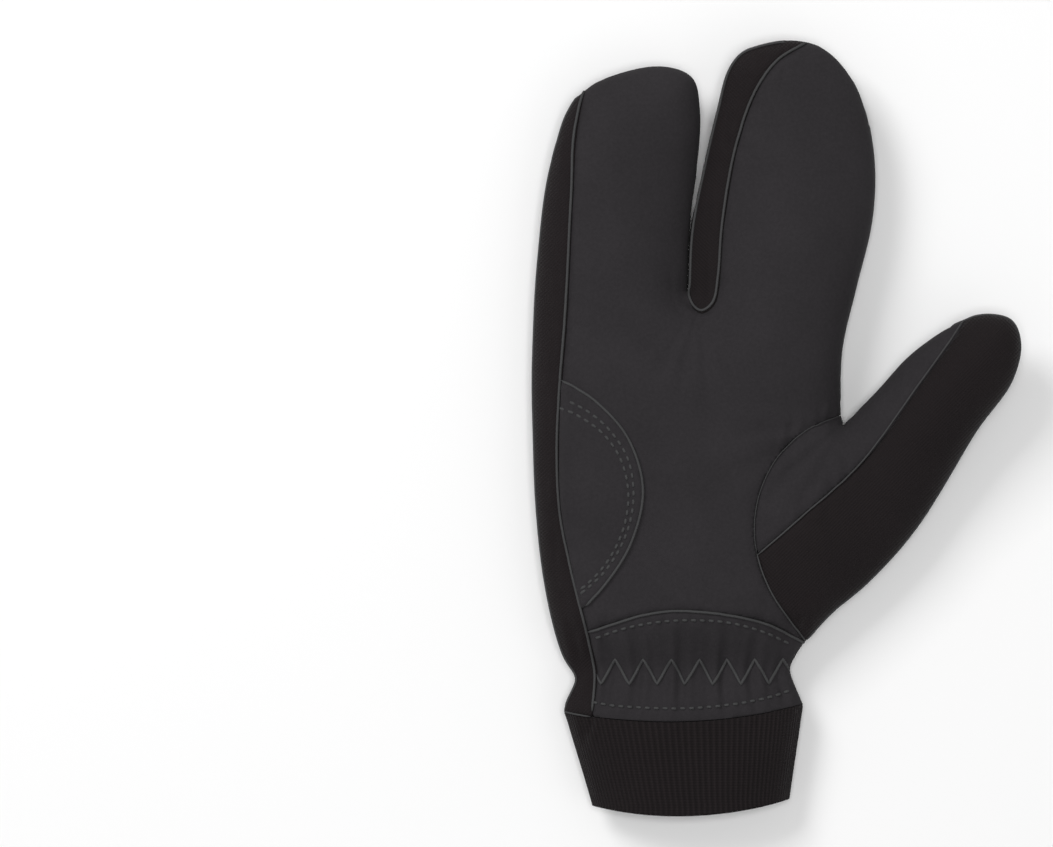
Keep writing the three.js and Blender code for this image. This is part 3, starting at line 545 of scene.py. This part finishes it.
def skin_plan():
    """Points in plan, which of them lie on the outline, and the quads between them."""
    points, edge, quads = [], [], []

    def add_row(rows_xy, flags):
        start = len(points)
        points.extend(rows_xy)
        edge.extend(flags)
        return list(range(start, start + len(rows_xy)))

    def join(low, high):
        for j in range(len(low) - 1):
            quads.append((low[j], low[j + 1], high[j + 1], high[j]))

    half = STEPS["pocket_width"]
    width = 2 * half
    slit_y = SLIT_END * HAND_LENGTH
    left = across_at(side_little, slit_y)
    slit_share = (index_run[0, 0] - left) / (hand_right(slit_y) - left)
    low = np.linspace(HEM * HAND_LENGTH, heel_y, STEPS["cuff"] + 1)[:-1]
    root = heel_y + (crotch[1] - heel_y) * ease(STEPS["root"])[:-1]
    n = STEPS["knuckles"]
    high = crotch[1] + (slit_y - crotch[1]) * np.sin(math.pi / 2 * np.arange(n + 1) / n)
    levels = np.concatenate([low, root, high])
    first_root, last_root = len(low), len(low) + len(root)
    single = ease(width)
    parted = np.concatenate([slit_share * ease(half)[:-1], slit_share + (1 - slit_share) * ease(half)])
    rows = []
    for i, level in enumerate(levels):
        fade = 1 - smoothstep(level / HAND_LENGTH, HEM, BOW_END)
        split = smoothstep(level / HAND_LENGTH, 0.4, SLIT_END)
        share = single * (1 - split) + parted * split
        y = level + fade * HAND_LENGTH * (HEM_TILT * (share - 0.5) - HEM_BOW * 4 * share * (1 - share))
        ends = across_at(side_little, y), hand_right(y)
        x = ends[0] + (ends[1] - ends[0]) * share
        flags = np.zeros(width + 1, bool)
        flags[0] = True
        flags[-1] = not first_root < i < last_root
        if i == len(levels) - 1:
            flags[half] = True
        rows.append(add_row(list(zip(x, y)), flags))
    for a, b in zip(rows, rows[1:]):
        join(a, b)

    def pocket(first, count, left_at, right_at, tip):
        below = first
        for i in range(1, count):
            share = math.sin(math.pi / 2 * i / count)
            a, b = left_at(share), right_at(share)
            t = ease(len(first) - 1)[:, None]
            flags = np.zeros(len(first), bool)
            flags[[0, -1]] = True
            row = add_row([tuple(v) for v in a + (b - a) * t], flags)
            join(below, row)
            below = row
        end = add_row([tuple(tip)], [True])[0]
        for j in range(len(below) - 1):
            quads.append((below[j], below[j + 1], end, end))

    def upright(side, tip):
        def at(share):
            y = slit_y + (tip[1] - slit_y) * share
            return np.array([across_at(side, y), y])
        return at

    def slanted(run, start, tip):
        s = (run - crotch) @ THUMB_AXIS
        first, last = float((start - crotch) @ THUMB_AXIS), float((tip - crotch) @ THUMB_AXIS)

        def at(share):
            v = first + (last - first) * share
            return np.array([np.interp(v, s, run[:, 0]), np.interp(v, s, run[:, 1])])
        return at

    top = rows[-1]
    ring_end, index_end, thumb_end = little_run[little_tip], index_run[index_tip], thumb_run[thumb_tip]
    for first, sides, end in (
        (top[: half + 1], (side_little, side_ring_inner), ring_end),
        (top[half:], (side_index_inner, side_index_outer), index_end),
    ):
        pocket(first, STEPS["pocket"], *(upright(side, end) for side in sides), end)
    root_row = [rows[i][-1] for i in range(last_root, first_root - 1, -1)]
    pocket(root_row, STEPS["thumb"], slanted(thumb_inner_run, crotch, thumb_end),
           slanted(thumb_outer_run[thumb_outer_run[:, 1] >= 0], heel_point, thumb_end), thumb_end)
    return np.array(points), np.array(edge), quads


plan, edge, quads = skin_plan()
faces = []
for a, b, c, d in quads:
    faces.append((a, b, c))
    if c != d:
        faces.append((a, c, d))
faces = np.array(faces)
plan_count = len(plan)

back_index = np.where(edge, np.arange(plan_count), np.arange(plan_count) + plan_count)
palm_z = base_height(plan, PALM)
back_z = base_height(plan, BACK)
palm_z[edge] = back_z[edge] = middle_height(plan[edge])
skin = np.vstack([np.column_stack([plan, palm_z]), np.column_stack([plan, back_z])])
all_faces = np.vstack([faces, back_index[faces[:, ::-1]]])


def vertex_normals(v, f):
    """Normals at the vertices, weighted by the area of the faces round them."""
    n = np.cross(v[f[:, 1]] - v[f[:, 0]], v[f[:, 2]] - v[f[:, 0]])
    total = np.zeros_like(v)
    for k in range(3):
        np.add.at(total, f[:, k], n)
    return total / np.maximum(np.linalg.norm(total, axis=1), 1e-12)[:, None]


normals = vertex_normals(skin, all_faces)
fields = {face: piece_fields(seam_fields(plan, face), face) for face in (PALM, BACK)}
raised = {face: relief(plan, face) for face in (PALM, BACK)}
both = (raised[PALM] + raised[BACK]) / 2
lift = np.concatenate([np.where(edge, both, raised[PALM]), np.where(edge, both, raised[BACK])])

PRESS = 0.3  # how softly the pressed part rounds off the table


def pressed(v):
    """The mitt lies on the surface, so its back is pressed flat where it touches."""
    v = v.copy()
    v[:, 2] = (v[:, 2] + np.sqrt(v[:, 2] ** 2 + PRESS**2)) / 2
    return v


placed = pressed(skin + normals * lift[:, None])
finished_normals = vertex_normals(placed, all_faces)
finished = BVHTree.FromPolygons([tuple(v) for v in placed], [tuple(map(int, f)) for f in all_faces])


FAR = 200.0


def cast(starts, headings):
    """Where rays meet the finished skin, its normal there, and which rays meet it."""
    points, n, hits = np.zeros((len(starts), 3)), np.zeros((len(starts), 3)), np.zeros(len(starts), bool)
    for k, (start, heading) in enumerate(zip(starts, headings)):
        place, _, index, _ = finished.ray_cast(Vector(start), Vector(heading))
        if place is None:
            continue
        a, b, c = placed[all_faces[index]]
        x = np.array(place)
        whole = np.cross(b - a, c - a)
        scale = whole @ whole
        wa, wb = np.cross(b - x, c - x) @ whole / scale, np.cross(c - x, a - x) @ whole / scale
        mixed = np.array([wa, wb, 1 - wa - wb]) @ finished_normals[all_faces[index]]
        points[k], n[k], hits[k] = x, mixed / np.linalg.norm(mixed), True
    return points, n, hits


def on_face(p, face, out):
    """Points of the finished skin over plan points, stood off by out."""
    starts = np.column_stack([p, np.full(len(p), FAR * face)])
    points, n, hits = cast(starts, np.tile([0.0, 0.0, -face], (len(p), 1)))
    # Towards the outline the thread turns round the edge and beds into it
    bedded = out * (0.3 + 0.7 * np.abs(n[:, 2:]))
    return points + n * bedded, n, hits


def on_side(run, height, out):
    """Points of the finished skin beside the outline, at a height from its middle."""
    tangent = directions(run)
    outward = np.column_stack([-tangent[:, 1], tangent[:, 0], np.zeros(len(run))])
    starts = np.column_stack([run, middle_height(run) + height]) + 8 * outward
    points, n, hits = cast(starts, -outward)
    hits &= np.linalg.norm(points[:, :2] - run, axis=1) < 4
    return points + n * out, n, hits


# Meshes
twice_plan = np.vstack([plan, plan])


def clip(triangles, field):
    """The triangles where the field is positive, cut along its zero line.

    New corners follow the old ones, each as (a, b, share of the way from a to b).
    """
    triangles = triangles[field[triangles].max(1) > 0]
    whole = field[triangles].min(1) > 0
    out, cuts, known = [tuple(t) for t in triangles[whole]], [], {}

    def crossing(a, b):
        key = (min(a, b), max(a, b))
        if key not in known:
            known[key] = len(field) + len(cuts)
            a, b = key
            cuts.append((a, b, min(max(field[a] / (field[a] - field[b]), 0.001), 0.999)))
        return known[key]

    for tri in triangles[~whole]:
        loop = []
        for k in range(3):
            a, b = int(tri[k]), int(tri[(k + 1) % 3])
            if field[a] > 0:
                loop.append(a)
            if (field[a] > 0) != (field[b] > 0):
                loop.append(crossing(a, b))
        for k in range(1, len(loop) - 1):
            out.append((loop[0], loop[k], loop[k + 1]))
    return np.array(out, int).reshape(-1, 3), cuts


STEADY = 0.35  # cosine below which a normal has turned away


def steadied(n, triangles):
    """Normals that turn away from their neighbours' mean take that mean instead."""
    mean = n
    for _ in range(2):
        total = np.zeros_like(n)
        for k in range(3):
            np.add.at(total, triangles[:, k], mean[triangles].sum(1))
        mean = total / np.maximum(np.linalg.norm(total, axis=1), 1e-9)[:, None]
    odd = (n * mean).sum(1) < STEADY
    return np.where(odd[:, None], mean, n)


def cut_skin(field, face):
    """The finished skin on one face where the field is positive: corners, normals, plan, triangles."""
    tris = faces if face == PALM else back_index[faces[:, ::-1]]
    tris, cuts = clip(tris, np.concatenate([field, field]))
    base, n, flat, out = skin, normals, twice_plan, lift
    if cuts:
        a, b = (np.array([c[k] for c in cuts], int) for k in (0, 1))
        w = np.array([c[2] for c in cuts])[:, None]
        base = np.vstack([base, skin[a] * (1 - w) + skin[b] * w])
        n = np.vstack([n, normals[a] * (1 - w) + normals[b] * w])
        spots = twice_plan[a] * (1 - w) + twice_plan[b] * w
        flat = np.vstack([flat, spots])
        own, other = relief(spots, face), relief(spots, -face)
        on_outline = edge[a % plan_count] & edge[b % plan_count]
        out = np.concatenate([out, np.where(on_outline, (own + other) / 2, own)])
    n = n / np.linalg.norm(n, axis=1)[:, None]
    used, inverse = np.unique(tris, return_inverse=True)
    tris = inverse.reshape(-1, 3)
    n = steadied(n[used], tris)
    return pressed(base[used] + n * out[used, None]), n, flat[used], tris


def to_row(v):
    """Millimetres of the plan to metres of the row frame."""
    return (np.asarray(v, float) - [*ORIGIN, 0.0]) * MM


def make_object(name, vertices, polygons, material, attributes=None):
    mesh = bpy.data.meshes.new(name)
    mesh.from_pydata([tuple(v) for v in to_row(vertices)], [], [tuple(map(int, f)) for f in polygons])
    mesh.update()
    for p in mesh.polygons:
        p.use_smooth = True
    for key, values in (attributes or {}).items():
        layer = mesh.attributes.new(key, "FLOAT_VECTOR", "POINT")
        layer.data.foreach_set("vector", np.asarray(values, np.float32).ravel())
    mesh.materials.append(material)
    obj = bpy.data.objects.new(name, mesh)
    bpy.context.scene.collection.objects.link(obj)
    return obj


WALL_SHARE = 0.8  # the most that a wall takes of the half thickness there
LEAST_HALF, LEAST_SLOPE = 0.3, 0.25
RIM_HALF, RIM_SLOPE = 1.3, 0.7


def thickened(vertices, triangles, n, wall, half):
    """A closed wall: the skin, the same skin moved in, and a rim along every free edge.

    half is how far the skin is from the mitt's middle surface: near the outline the wall is thinner.
    """
    m = len(vertices)
    slope = np.abs(n[:, 2])
    most = WALL_SHARE * np.maximum(half, LEAST_HALF) / np.maximum(slope, LEAST_SLOPE)
    inward = n * np.minimum(wall, most)[:, None]
    inward[(half < RIM_HALF) & (slope > RIM_SLOPE), :2] = 0
    v = np.vstack([vertices, vertices - inward])
    directed = dict.fromkeys(e for a, b, c in triangles for e in ((a, b), (b, c), (c, a)))
    rim = [(b, a, a + m, b + m) for a, b in directed if (b, a) not in directed]
    polygons = [tuple(t) for t in triangles] + [tuple(t[::-1] + m) for t in triangles] + rim
    return v, polygons


# Materials
def cloth(name, colour, roughness, kind, bump, grain, sheen=0.0):
    """A cloth material: colour with slow variation, a fine surface relief, no gloss; rib cloth also has
    painted shade in its rib hollows and painted highlight on its rib crests.
    """
    m = bpy.data.materials.new(name)
    m.use_nodes = True
    nodes, links = m.node_tree.nodes, m.node_tree.links

    def node(kind_of, **values):
        made = nodes.new(kind_of)
        for key, value in values.items():
            made.inputs[key.replace("_", " ")].default_value = value
        return made

    def noise(scale, detail):
        made = node("ShaderNodeTexNoise", Scale=scale, Detail=detail)
        links.new(place.outputs["Object"], made.inputs["Vector"])
        return made.outputs["Fac"]

    def bands(direction, vector, scale, distortion=0.0):
        made = node("ShaderNodeTexWave", Scale=scale, Distortion=distortion)
        made.bands_direction = direction
        links.new(vector, made.inputs["Vector"])
        return made.outputs["Fac"]

    shader = nodes["Principled BSDF"]
    shader.inputs["Roughness"].default_value = roughness
    shader.inputs["Specular IOR Level"].default_value = 0.18
    shader.inputs["Sheen Weight"].default_value = sheen
    shader.inputs["Sheen Roughness"].default_value = 0.4
    place = nodes.new("ShaderNodeTexCoord")

    mix = nodes.new("ShaderNodeMix")
    mix.data_type = "FLOAT"
    mix.inputs[0].default_value = 0.5
    links.new(noise(45, 4), mix.inputs[2])
    links.new(noise(grain, 3), mix.inputs[3])
    ramp = nodes.new("ShaderNodeValToRGB")
    for element, position, share in zip(ramp.color_ramp.elements, (0.3, 0.7), (0.84, 1.16)):
        element.position = position
        element.color = (*[share * c for c in colour], 1)
    links.new(mix.outputs[0], ramp.inputs["Fac"])
    links.new(ramp.outputs["Color"], shader.inputs["Base Color"])

    surface = node("ShaderNodeBump", Strength=bump, Distance=0.0006 if kind == "rib" else 0.0002)
    if kind == "weave":
        split = node("ShaderNodeMapping", Rotation=(0, 0, math.radians(45)))
        links.new(place.outputs["Object"], split.inputs["Vector"])
        add = nodes.new("ShaderNodeMath")
        add.operation = "ADD"
        for k, direction in enumerate(("X", "Y")):
            links.new(bands(direction, split.outputs["Vector"], 330, 0.6), add.inputs[k])
        height = add.outputs[0]
    elif kind == "rib":
        around = nodes.new("ShaderNodeAttribute")
        around.attribute_name = "around"
        ribs = bands("X", around.outputs["Vector"], 0.14, 0.3)
        add = nodes.new("ShaderNodeMath")
        add.operation = "MULTIPLY_ADD"
        add.inputs[1].default_value = 0.35
        links.new(bands("Y", around.outputs["Vector"], 0.32), add.inputs[0])
        links.new(ribs, add.inputs[2])
        height = add.outputs[0]
        # Painted shade and highlight: the colour is darker in the hollows between the ribs and lighter on
        # the rib crests
        shade = node("ShaderNodeMapRange", To_Min=0.72, To_Max=1.18)
        links.new(ribs, shade.inputs["Value"])
        painted_rib_shading = nodes.new("ShaderNodeVectorMath")
        painted_rib_shading.operation = "SCALE"
        links.new(ramp.outputs["Color"], painted_rib_shading.inputs[0])
        links.new(shade.outputs["Result"], painted_rib_shading.inputs["Scale"])
        links.new(painted_rib_shading.outputs["Vector"], shader.inputs["Base Color"])
    else:
        height = noise(grain * 1.7, 5)
    links.new(height, surface.inputs["Height"])
    links.new(surface.outputs["Normal"], shader.inputs["Normal"])
    return m


BLACK, GREY = (0.0112, 0.0085, 0.0091), (0.0244, 0.0222, 0.0244)
palm_cloth = cloth("grey_suede", GREY, 0.95, "nap", 0.35, 900, 0.02)
shell_cloth = cloth("black_shell", BLACK, 0.9, "weave", 0.5, 1200, 0.03)
cuff_cloth = cloth("black_knit", BLACK, 0.95, "rib", 0.7, 1100, 0.03)
grey_thread = cloth("grey_thread", (0.0470, 0.0470, 0.0480), 0.7, "nap", 0.2, 2500)
black_thread = cloth("black_thread", (0.0040, 0.0034, 0.0036), 0.7, "nap", 0.2, 2500)

LOOKS = {
    "palm_panel": (palm_cloth, "palm_cloth"),
    "back_panel": (shell_cloth, "shell_cloth"),
    "index_fourchette": (shell_cloth, "shell_cloth"),
    "thumb_outer": (shell_cloth, "shell_cloth"),
    "thumb_inner": (palm_cloth, "palm_cloth"),
    "wrist_panel": (palm_cloth, "palm_cloth"),
    "knit_cuff": (cuff_cloth, "cuff_knit"),
}
SEAM_GAP = 0.12  # how far each piece stays off its seams
JOIN_WITHIN = 2e-3  # corners nearer than this are one
CUFF_ROUND = 40  # half width of the cuff as its ribs count it, a radian of turn each


def finish_piece(obj, slot, *nodes):
    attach(obj, "root")
    if nodes:
        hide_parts(*nodes)


for name, (material, slot) in LOOKS.items():
    parts = [cut_skin(fields[face][name] - SEAM_GAP, face) for face in (PALM, BACK) if name in fields[face]]
    offsets = np.cumsum([0] + [len(p[0]) for p in parts])
    v, n, flat = (np.vstack([p[k] for p in parts]) for k in (0, 1, 2))
    t = np.vstack([p[3] + offset for p, offset in zip(parts, offsets)])
    # Join the palm and back parts where they share the outline
    cells = np.round(v / JOIN_WITHIN).astype(int)
    _, first, inverse = np.unique(cells, axis=0, return_index=True, return_inverse=True)
    v, n, flat, t = v[first], n[first], flat[first], inverse.reshape(-1)[t]
    t = t[(t[:, 0] != t[:, 1]) & (t[:, 1] != t[:, 2]) & (t[:, 0] != t[:, 2])]
    extra = None
    if name == "knit_cuff":
        left, right = across_at(side_little, flat[:, 1]), hand_right(flat[:, 1])
        turn = np.arcsin(np.clip((2 * flat[:, 0] - left - right) / (right - left), -1, 1))
        extra = {"around": np.tile(np.column_stack([CUFF_ROUND * turn, flat[:, 1], 0 * turn]), (2, 1))}
    v, polygons = thickened(v, t, n, WALL, np.abs(v[:, 2] - middle_height(flat)))
    obj = make_object(name + "_cloth", v, polygons, material, attributes=extra)
    finish_piece(obj, slot, name)

# Heel patch: a second layer over the palm cloth
edge_line = curve(HEEL_PATCH_EDGE, SEAM_SAMPLES)
patch_polygon = np.vstack([edge_line, spot([(0.09, -1.2), (0.47, -1.2)])])


def patch_reach(p):
    """Signed distance to the free edge of the patch, positive inside it."""
    d, _ = line_distance(p, edge_line)
    return np.where(inside(p, patch_polygon), d, -d)


PATCH_RISE, PATCH_WALL, PATCH_OFF_STRIP = 0.55, 0.9, 0.3
patch_field = least(patch_reach(plan), -seam_fields(plan, PALM)["strip"] - PATCH_OFF_STRIP)
v, n, flat, t = cut_skin(patch_field, PALM)
v = v + n * (PATCH_RISE * (1 + smoothstep(patch_reach(flat), 0.0, 1.0)))[:, None]
v, polygons = thickened(v, t, n, PATCH_WALL, np.abs(v[:, 2] - middle_height(flat)))
patch = make_object("heel_patch_cloth", v, polygons, palm_cloth)
finish_piece(patch, "palm_cloth", "heel_patch")


# Threads
def tube(path, side, radius, flat=1.0, sides=8):
    """A thread along a path; side holds a vector out of the cloth at each point."""
    tangent = directions(path)
    up = side - tangent * (side * tangent).sum(1)[:, None]
    up /= np.linalg.norm(up, axis=1)[:, None]
    across = np.cross(tangent, up)
    radius = np.broadcast_to(np.asarray(radius, float), (len(path),))
    angle = 2 * math.pi * np.arange(sides) / sides
    ring = np.cos(angle)[None, :, None] * up[:, None] * flat
    ring = (ring + np.sin(angle)[None, :, None] * across[:, None]) * radius[:, None, None]
    v = (path[:, None] + ring).reshape(-1, 3)
    polygons = []
    for i in range(len(path) - 1):
        for k in range(sides):
            a, b = i * sides + k, i * sides + (k + 1) % sides
            polygons.append((a, a + sides, b + sides, b))
    polygons.append(tuple(range(sides)))
    polygons.append(tuple(reversed(range((len(path) - 1) * sides, len(path) * sides))))
    return v, polygons


ABOVE_TABLE = 0.05


def gather(parts):
    """Several threads as one mesh, none of it below the table."""
    vertices, polygons, offset = [], [], 0
    for v, p in parts:
        vertices.append(v)
        polygons += [tuple(i + offset for i in f) for f in p]
        offset += len(v)
    v = np.vstack(vertices)
    v[:, 2] = np.maximum(v[:, 2], ABOVE_TABLE)
    return v, polygons


def longest(hits):
    """The longest unbroken stretch of hits, as a slice."""
    on = np.concatenate([[False], hits, [False]])
    starts, ends = np.flatnonzero(~on[:-1] & on[1:]), np.flatnonzero(on[:-1] & ~on[1:])
    k = int((ends - starts).argmax())
    return slice(starts[k], ends[k])


def stretch(points, n, hits):
    """The points and normals of the longest stretch of hits."""
    rows = longest(hits)
    return points[rows], n[rows]


TAPER = 2.4


def laid_thread(path, side, radius, flat=1.0):
    """A thread along a path, sinking into the cloth at both ends."""
    at = travelled(path)
    full = smoothstep(np.minimum(at, at[-1] - at), 0, TAPER)
    path = path - side * (0.7 * radius * (1 - full))[:, None]
    return tube(path, side, radius * (0.5 + 0.5 * full), flat)


def over_edge(point, side, out):
    """Points that carry a thread from near the outline round to the middle of the side."""
    level = middle_height(point[None, :2])[0]
    heights = [h for h in (4.0, 2.5, 1.2, 0.0) if h < abs(point[2] - level) - 0.4]
    slit = (across_at(side_ring_inner, point[1]) + across_at(side_index_inner, point[1])) / 2
    in_slit = 0.58 < point[1] / HAND_LENGTH < 0.8 and abs(point[0] - slit) < 4
    if in_slit or abs(side[2]) > 0.8 or not heights:
        return np.zeros((0, 3)), np.zeros((0, 3))
    away = np.array([side[0], side[1], 0.0]) / np.linalg.norm(side[:2])
    face = PALM if point[2] > level else BACK
    starts = np.array([[*(point[:2] + 6 * away[:2]), level + face * h] for h in heights])
    points, n, hits = cast(starts, np.tile(-away, (len(starts), 1)))
    hits &= np.linalg.norm(points[:, :2] - point[:2], axis=1) < 3
    return (points + n * 0.3 * out)[hits], n[hits]


DASH_LENGTH, DASH_RADIUS, DASH_FLAT = 1.85, 0.52, 0.7
DASH_SHARES = np.linspace(0, 1, 6)
DASH_ROUND = np.array([0.7, 0.97, 1.0, 1.0, 0.97, 0.7])
DASH_RISE = np.array([-0.1, 0.08, 0.14, 0.14, 0.08, -0.1])


def dashes(table, face, out):
    """Short stitches along a row, each dipping into the cloth at both ends."""
    line = resample(curve(table), 0.25)
    at_line = travelled(line)
    starts = np.arange(0.4, at_line[-1] - DASH_LENGTH, STITCH_PITCH)
    at = (starts[:, None] + DASH_LENGTH * DASH_SHARES).ravel()
    p = np.column_stack([np.interp(at, at_line, line[:, k]) for k in (0, 1)])
    points, n, hits = on_face(p, face, out)
    points += n * (np.tile(DASH_RISE, len(starts)) * (0.3 + 0.7 * np.abs(n[:, 2])))[:, None]
    parts = []
    size = len(DASH_SHARES)
    for k in range(len(starts)):
        rows = slice(size * k, size * k + size)
        if hits[rows].all() and np.ptp(points[rows, 2]) < DASH_LENGTH:
            parts.append(tube(points[rows], n[rows], DASH_RADIUS * DASH_ROUND, DASH_FLAT))
    return parts


THREAD_STEP = 0.8


def seam_line(table, face, radius, out, start=0.0, end=1.0):
    """A thread along a seam, between two shares of its length."""
    line = resample(curve(table), THREAD_STEP)
    line = line[int(start * (len(line) - 1)) : int(end * (len(line) - 1)) + 1]
    points, n = stretch(*on_face(line, face, out))
    before, before_n = over_edge(points[0], n[0], out)
    after, after_n = over_edge(points[-1], n[-1], out)
    path, side = np.vstack([before[::-1], points, after]), np.vstack([before_n[::-1], n, after_n])
    return laid_thread(path, side, radius)


def fourchette_line(inset, radius, out):
    """The thread all round the fourchette: down inside the outline, round its foot and up the seam."""
    beside = (index_run[:, 0] < 0.70 * HALF_PALM) & (index_run[:, 1] > 0.61 * HAND_LENGTH)
    inner = resample(index_run[beside], THREAD_STEP)
    inner = inner[longest(np.diff(inner[:, 1], append=inner[-1, 1]) > -0.01)]
    tangent = directions(inner)
    inner = inner - inset * np.column_stack([-tangent[:, 1], tangent[:, 0]])
    foot = curve(SLIT_LOOP + FOURCHETTE_TIP)
    foot = foot[int(np.argmax(foot[:, 1] < 0.597 * HAND_LENGTH)) :]
    line = resample(np.vstack([inner[::-1], foot]), THREAD_STEP)
    points, n = stretch(*on_face(line, PALM, out))
    after, after_n = over_edge(points[-1], n[-1], out)
    return laid_thread(np.vstack([points, after]), np.vstack([n, after_n]), radius)


def side_line(run, height, radius, out):
    """A thread along the side of the mitt, at a height from its middle."""
    return laid_thread(*stretch(*on_side(resample(run, THREAD_STEP), height, out)), radius)


CLOTH_OUT, PATCH_OUT = 0.12, 1.05  # how far the stitches stand off the skin
thread_sets = {"patch": [], "palm": [], "back": [], "wrap": []}
for kind, table, face in DASHED_ROWS:
    thread_sets[kind] += dashes(table, face, PATCH_OUT if kind == "patch" else CLOTH_OUT)

corners = spot(ZIGZAG)
path = [corners[:1]]
for a, b in zip(corners, corners[1:]):
    parts = max(int(np.linalg.norm(b - a)), 2)
    path.append(a + (b - a) * (np.arange(1, parts + 1) / parts)[:, None])
zigzag_thread = laid_thread(*stretch(*on_face(np.vstack(path), PALM, 0.3)), 0.56, 0.8)

# Along a seam: line, face, radius, height off the skin, and the shares of its length between which it runs
THICK, THIN, FINE = 0.50, 0.32, 0.16
SEAM_THREADS = [
    (SIDE_STRIP_SEAM, PALM, THICK, 0.5, 0.03, 1.0),
    (WRIST_SEAM, PALM, THICK, 0.5, 0.0, 1.0),
    (HEEL_PATCH_EDGE, PALM, THICK, 0.8, 0.04, 0.96),
    (THUMB_ROOT_PALM, PALM, FINE, 0.5, 0.05, 0.62),
    (THUMB_ROOT_PALM, PALM, THIN, 0.45, 0.62, 1.0),
    (THUMB_WEDGE_PALM, PALM, THIN, 0.45, 0.0, 1.0),
    (CUFF_SEAM, PALM, THIN, 0.45, 0.0, 0.19),
    (THUMB_ROOT_BACK, BACK, THIN, 0.45, 0.0, 1.0),
    (THUMB_WEDGE_BACK, BACK, THIN, 0.45, 0.0, 1.0),
    (SLIT_LOOP + INDEX_WRAP_TIP, BACK, THIN, 0.45, 0.03, 1.0),
    (RING_WRAP, BACK, THIN, 0.45, 0.0, 1.0),
    (CUFF_SEAM, BACK, THIN, 0.45, 0.0, 1.0),
]


def between(run, low, high):
    """The part of an outline run between two heights, as shares of the length."""
    along = run[:, 1] / HAND_LENGTH
    return run[longest((along > low) & (along < high))]


WEDGE_TOP, THUMB_FOOT = 0.545, 0.045
black_thumb = thumb_run[np.flatnonzero(thumb_run[:, 1] > WEDGE_TOP * HAND_LENGTH)[0] :]
black_thumb = black_thumb[black_thumb[:, 1] > THUMB_FOOT * HAND_LENGTH]
# Along the side: run, height from the middle, radius, height off the skin
SIDE_THREADS = [
    (between(little_run[:little_tip], -0.06, 0.918), 1.4, 0.44, 0.15),
    (black_thumb, 1.4, 0.44, 0.15),
    (between(index_run[index_tip:], 0.42, 0.88), -2.0, 0.34, 0.3),
]
seams = [seam_line(*row) for row in SEAM_THREADS] + [side_line(*row) for row in SIDE_THREADS]
seams.append(fourchette_line(0.9, THICK, 0.5))

THREADS = [
    ("patch_stitches", thread_sets["patch"], grey_thread, "palm_cloth"),
    ("palm_stitches", thread_sets["palm"], grey_thread, "palm_cloth"),
    ("back_stitches", thread_sets["back"], grey_thread, "shell_cloth"),
    ("wrap_stitches", thread_sets["wrap"], black_thread, "shell_cloth"),
    ("elastic_zigzag", [zigzag_thread], grey_thread, "palm_cloth"),
    ("seam_lines", seams, grey_thread, "shell_cloth"),
]
for name, parts, material, slot in THREADS:
    v, polygons = gather(parts)
    finish_piece(make_object(name, v, polygons, material), slot)

# Floor, light and camera
FLOOR_REACH = 4.0
floor_mesh = bpy.data.meshes.new("floor")
floor_corners = [(FLOOR_REACH * a, FLOOR_REACH * b, 0) for a, b in ((-1, -1), (1, -1), (1, 1), (-1, 1))]
floor_mesh.from_pydata(floor_corners, [], [(0, 1, 2, 3)])
floor = bpy.data.objects.new("floor", floor_mesh)
bpy.context.scene.collection.objects.link(floor)
white = bpy.data.materials.new("floor_white")
white.use_nodes = True
floor_shader = white.node_tree.nodes["Principled BSDF"]
floor_shader.inputs["Base Color"].default_value = (0.93, 0.93, 0.93, 1)
floor_shader.inputs["Roughness"].default_value = 0.9
floor_shader.inputs["Specular IOR Level"].default_value = 0.1
floor_mesh.materials.append(white)


def area_light(name, place, size, power):
    """A square light aimed at the mitt."""
    data = bpy.data.lights.new(name, "AREA")
    data.shape = "SQUARE"
    data.size = size
    data.energy = power
    obj = bpy.data.objects.new(name, data)
    obj.location = place
    obj.rotation_mode = "QUATERNION"
    obj.rotation_quaternion = (Vector((0, 0, 0)) - Vector(place)).to_track_quat("-Z", "Y")
    bpy.context.scene.collection.objects.link(obj)


area_light("key", (-1.1, 1.2, 1.5), 0.9, 23)
area_light("fill", (1.3, -0.9, 1.7), 1.6, 3)
area_light("top", (0.0, 0.0, 2.2), 0.6, 21)
world = bpy.context.scene.world or bpy.data.worlds.new("world")
bpy.context.scene.world = world
world.use_nodes = True
background = world.node_tree.nodes["Background"]
background.inputs["Color"].default_value = (1, 1, 1, 1)
background.inputs["Strength"].default_value = 0.3

# Straight above, as the drawing shows it: 0.355 mm to a pixel of the picture
PIXEL = 0.355 * MM
WIDTH_PX, HEIGHT_PX = 1053, 847
FOCUS_Z = 0.014
aim = np.array([(WIDTH_PX / 2 - ZERO_PX[0]) * PIXEL, (ZERO_PX[1] - HEIGHT_PX / 2) * PIXEL]) - ORIGIN * MM
camera_data = bpy.data.cameras.new("camera")
camera_data.lens = 250
camera_data.sensor_width = 36
camera = bpy.data.objects.new("camera", camera_data)
bpy.context.scene.collection.objects.link(camera)
bpy.context.scene.camera = camera
distance = WIDTH_PX * PIXEL * camera_data.lens / camera_data.sensor_width
camera.location = (aim[0], aim[1], FOCUS_Z + distance)
camera.rotation_euler = (0, 0, 0)
camera_data.clip_end = 20
scene = bpy.context.scene
scene.view_settings.view_transform = "Standard"
scene.view_settings.look = "None"
scene.view_settings.exposure = 0.0
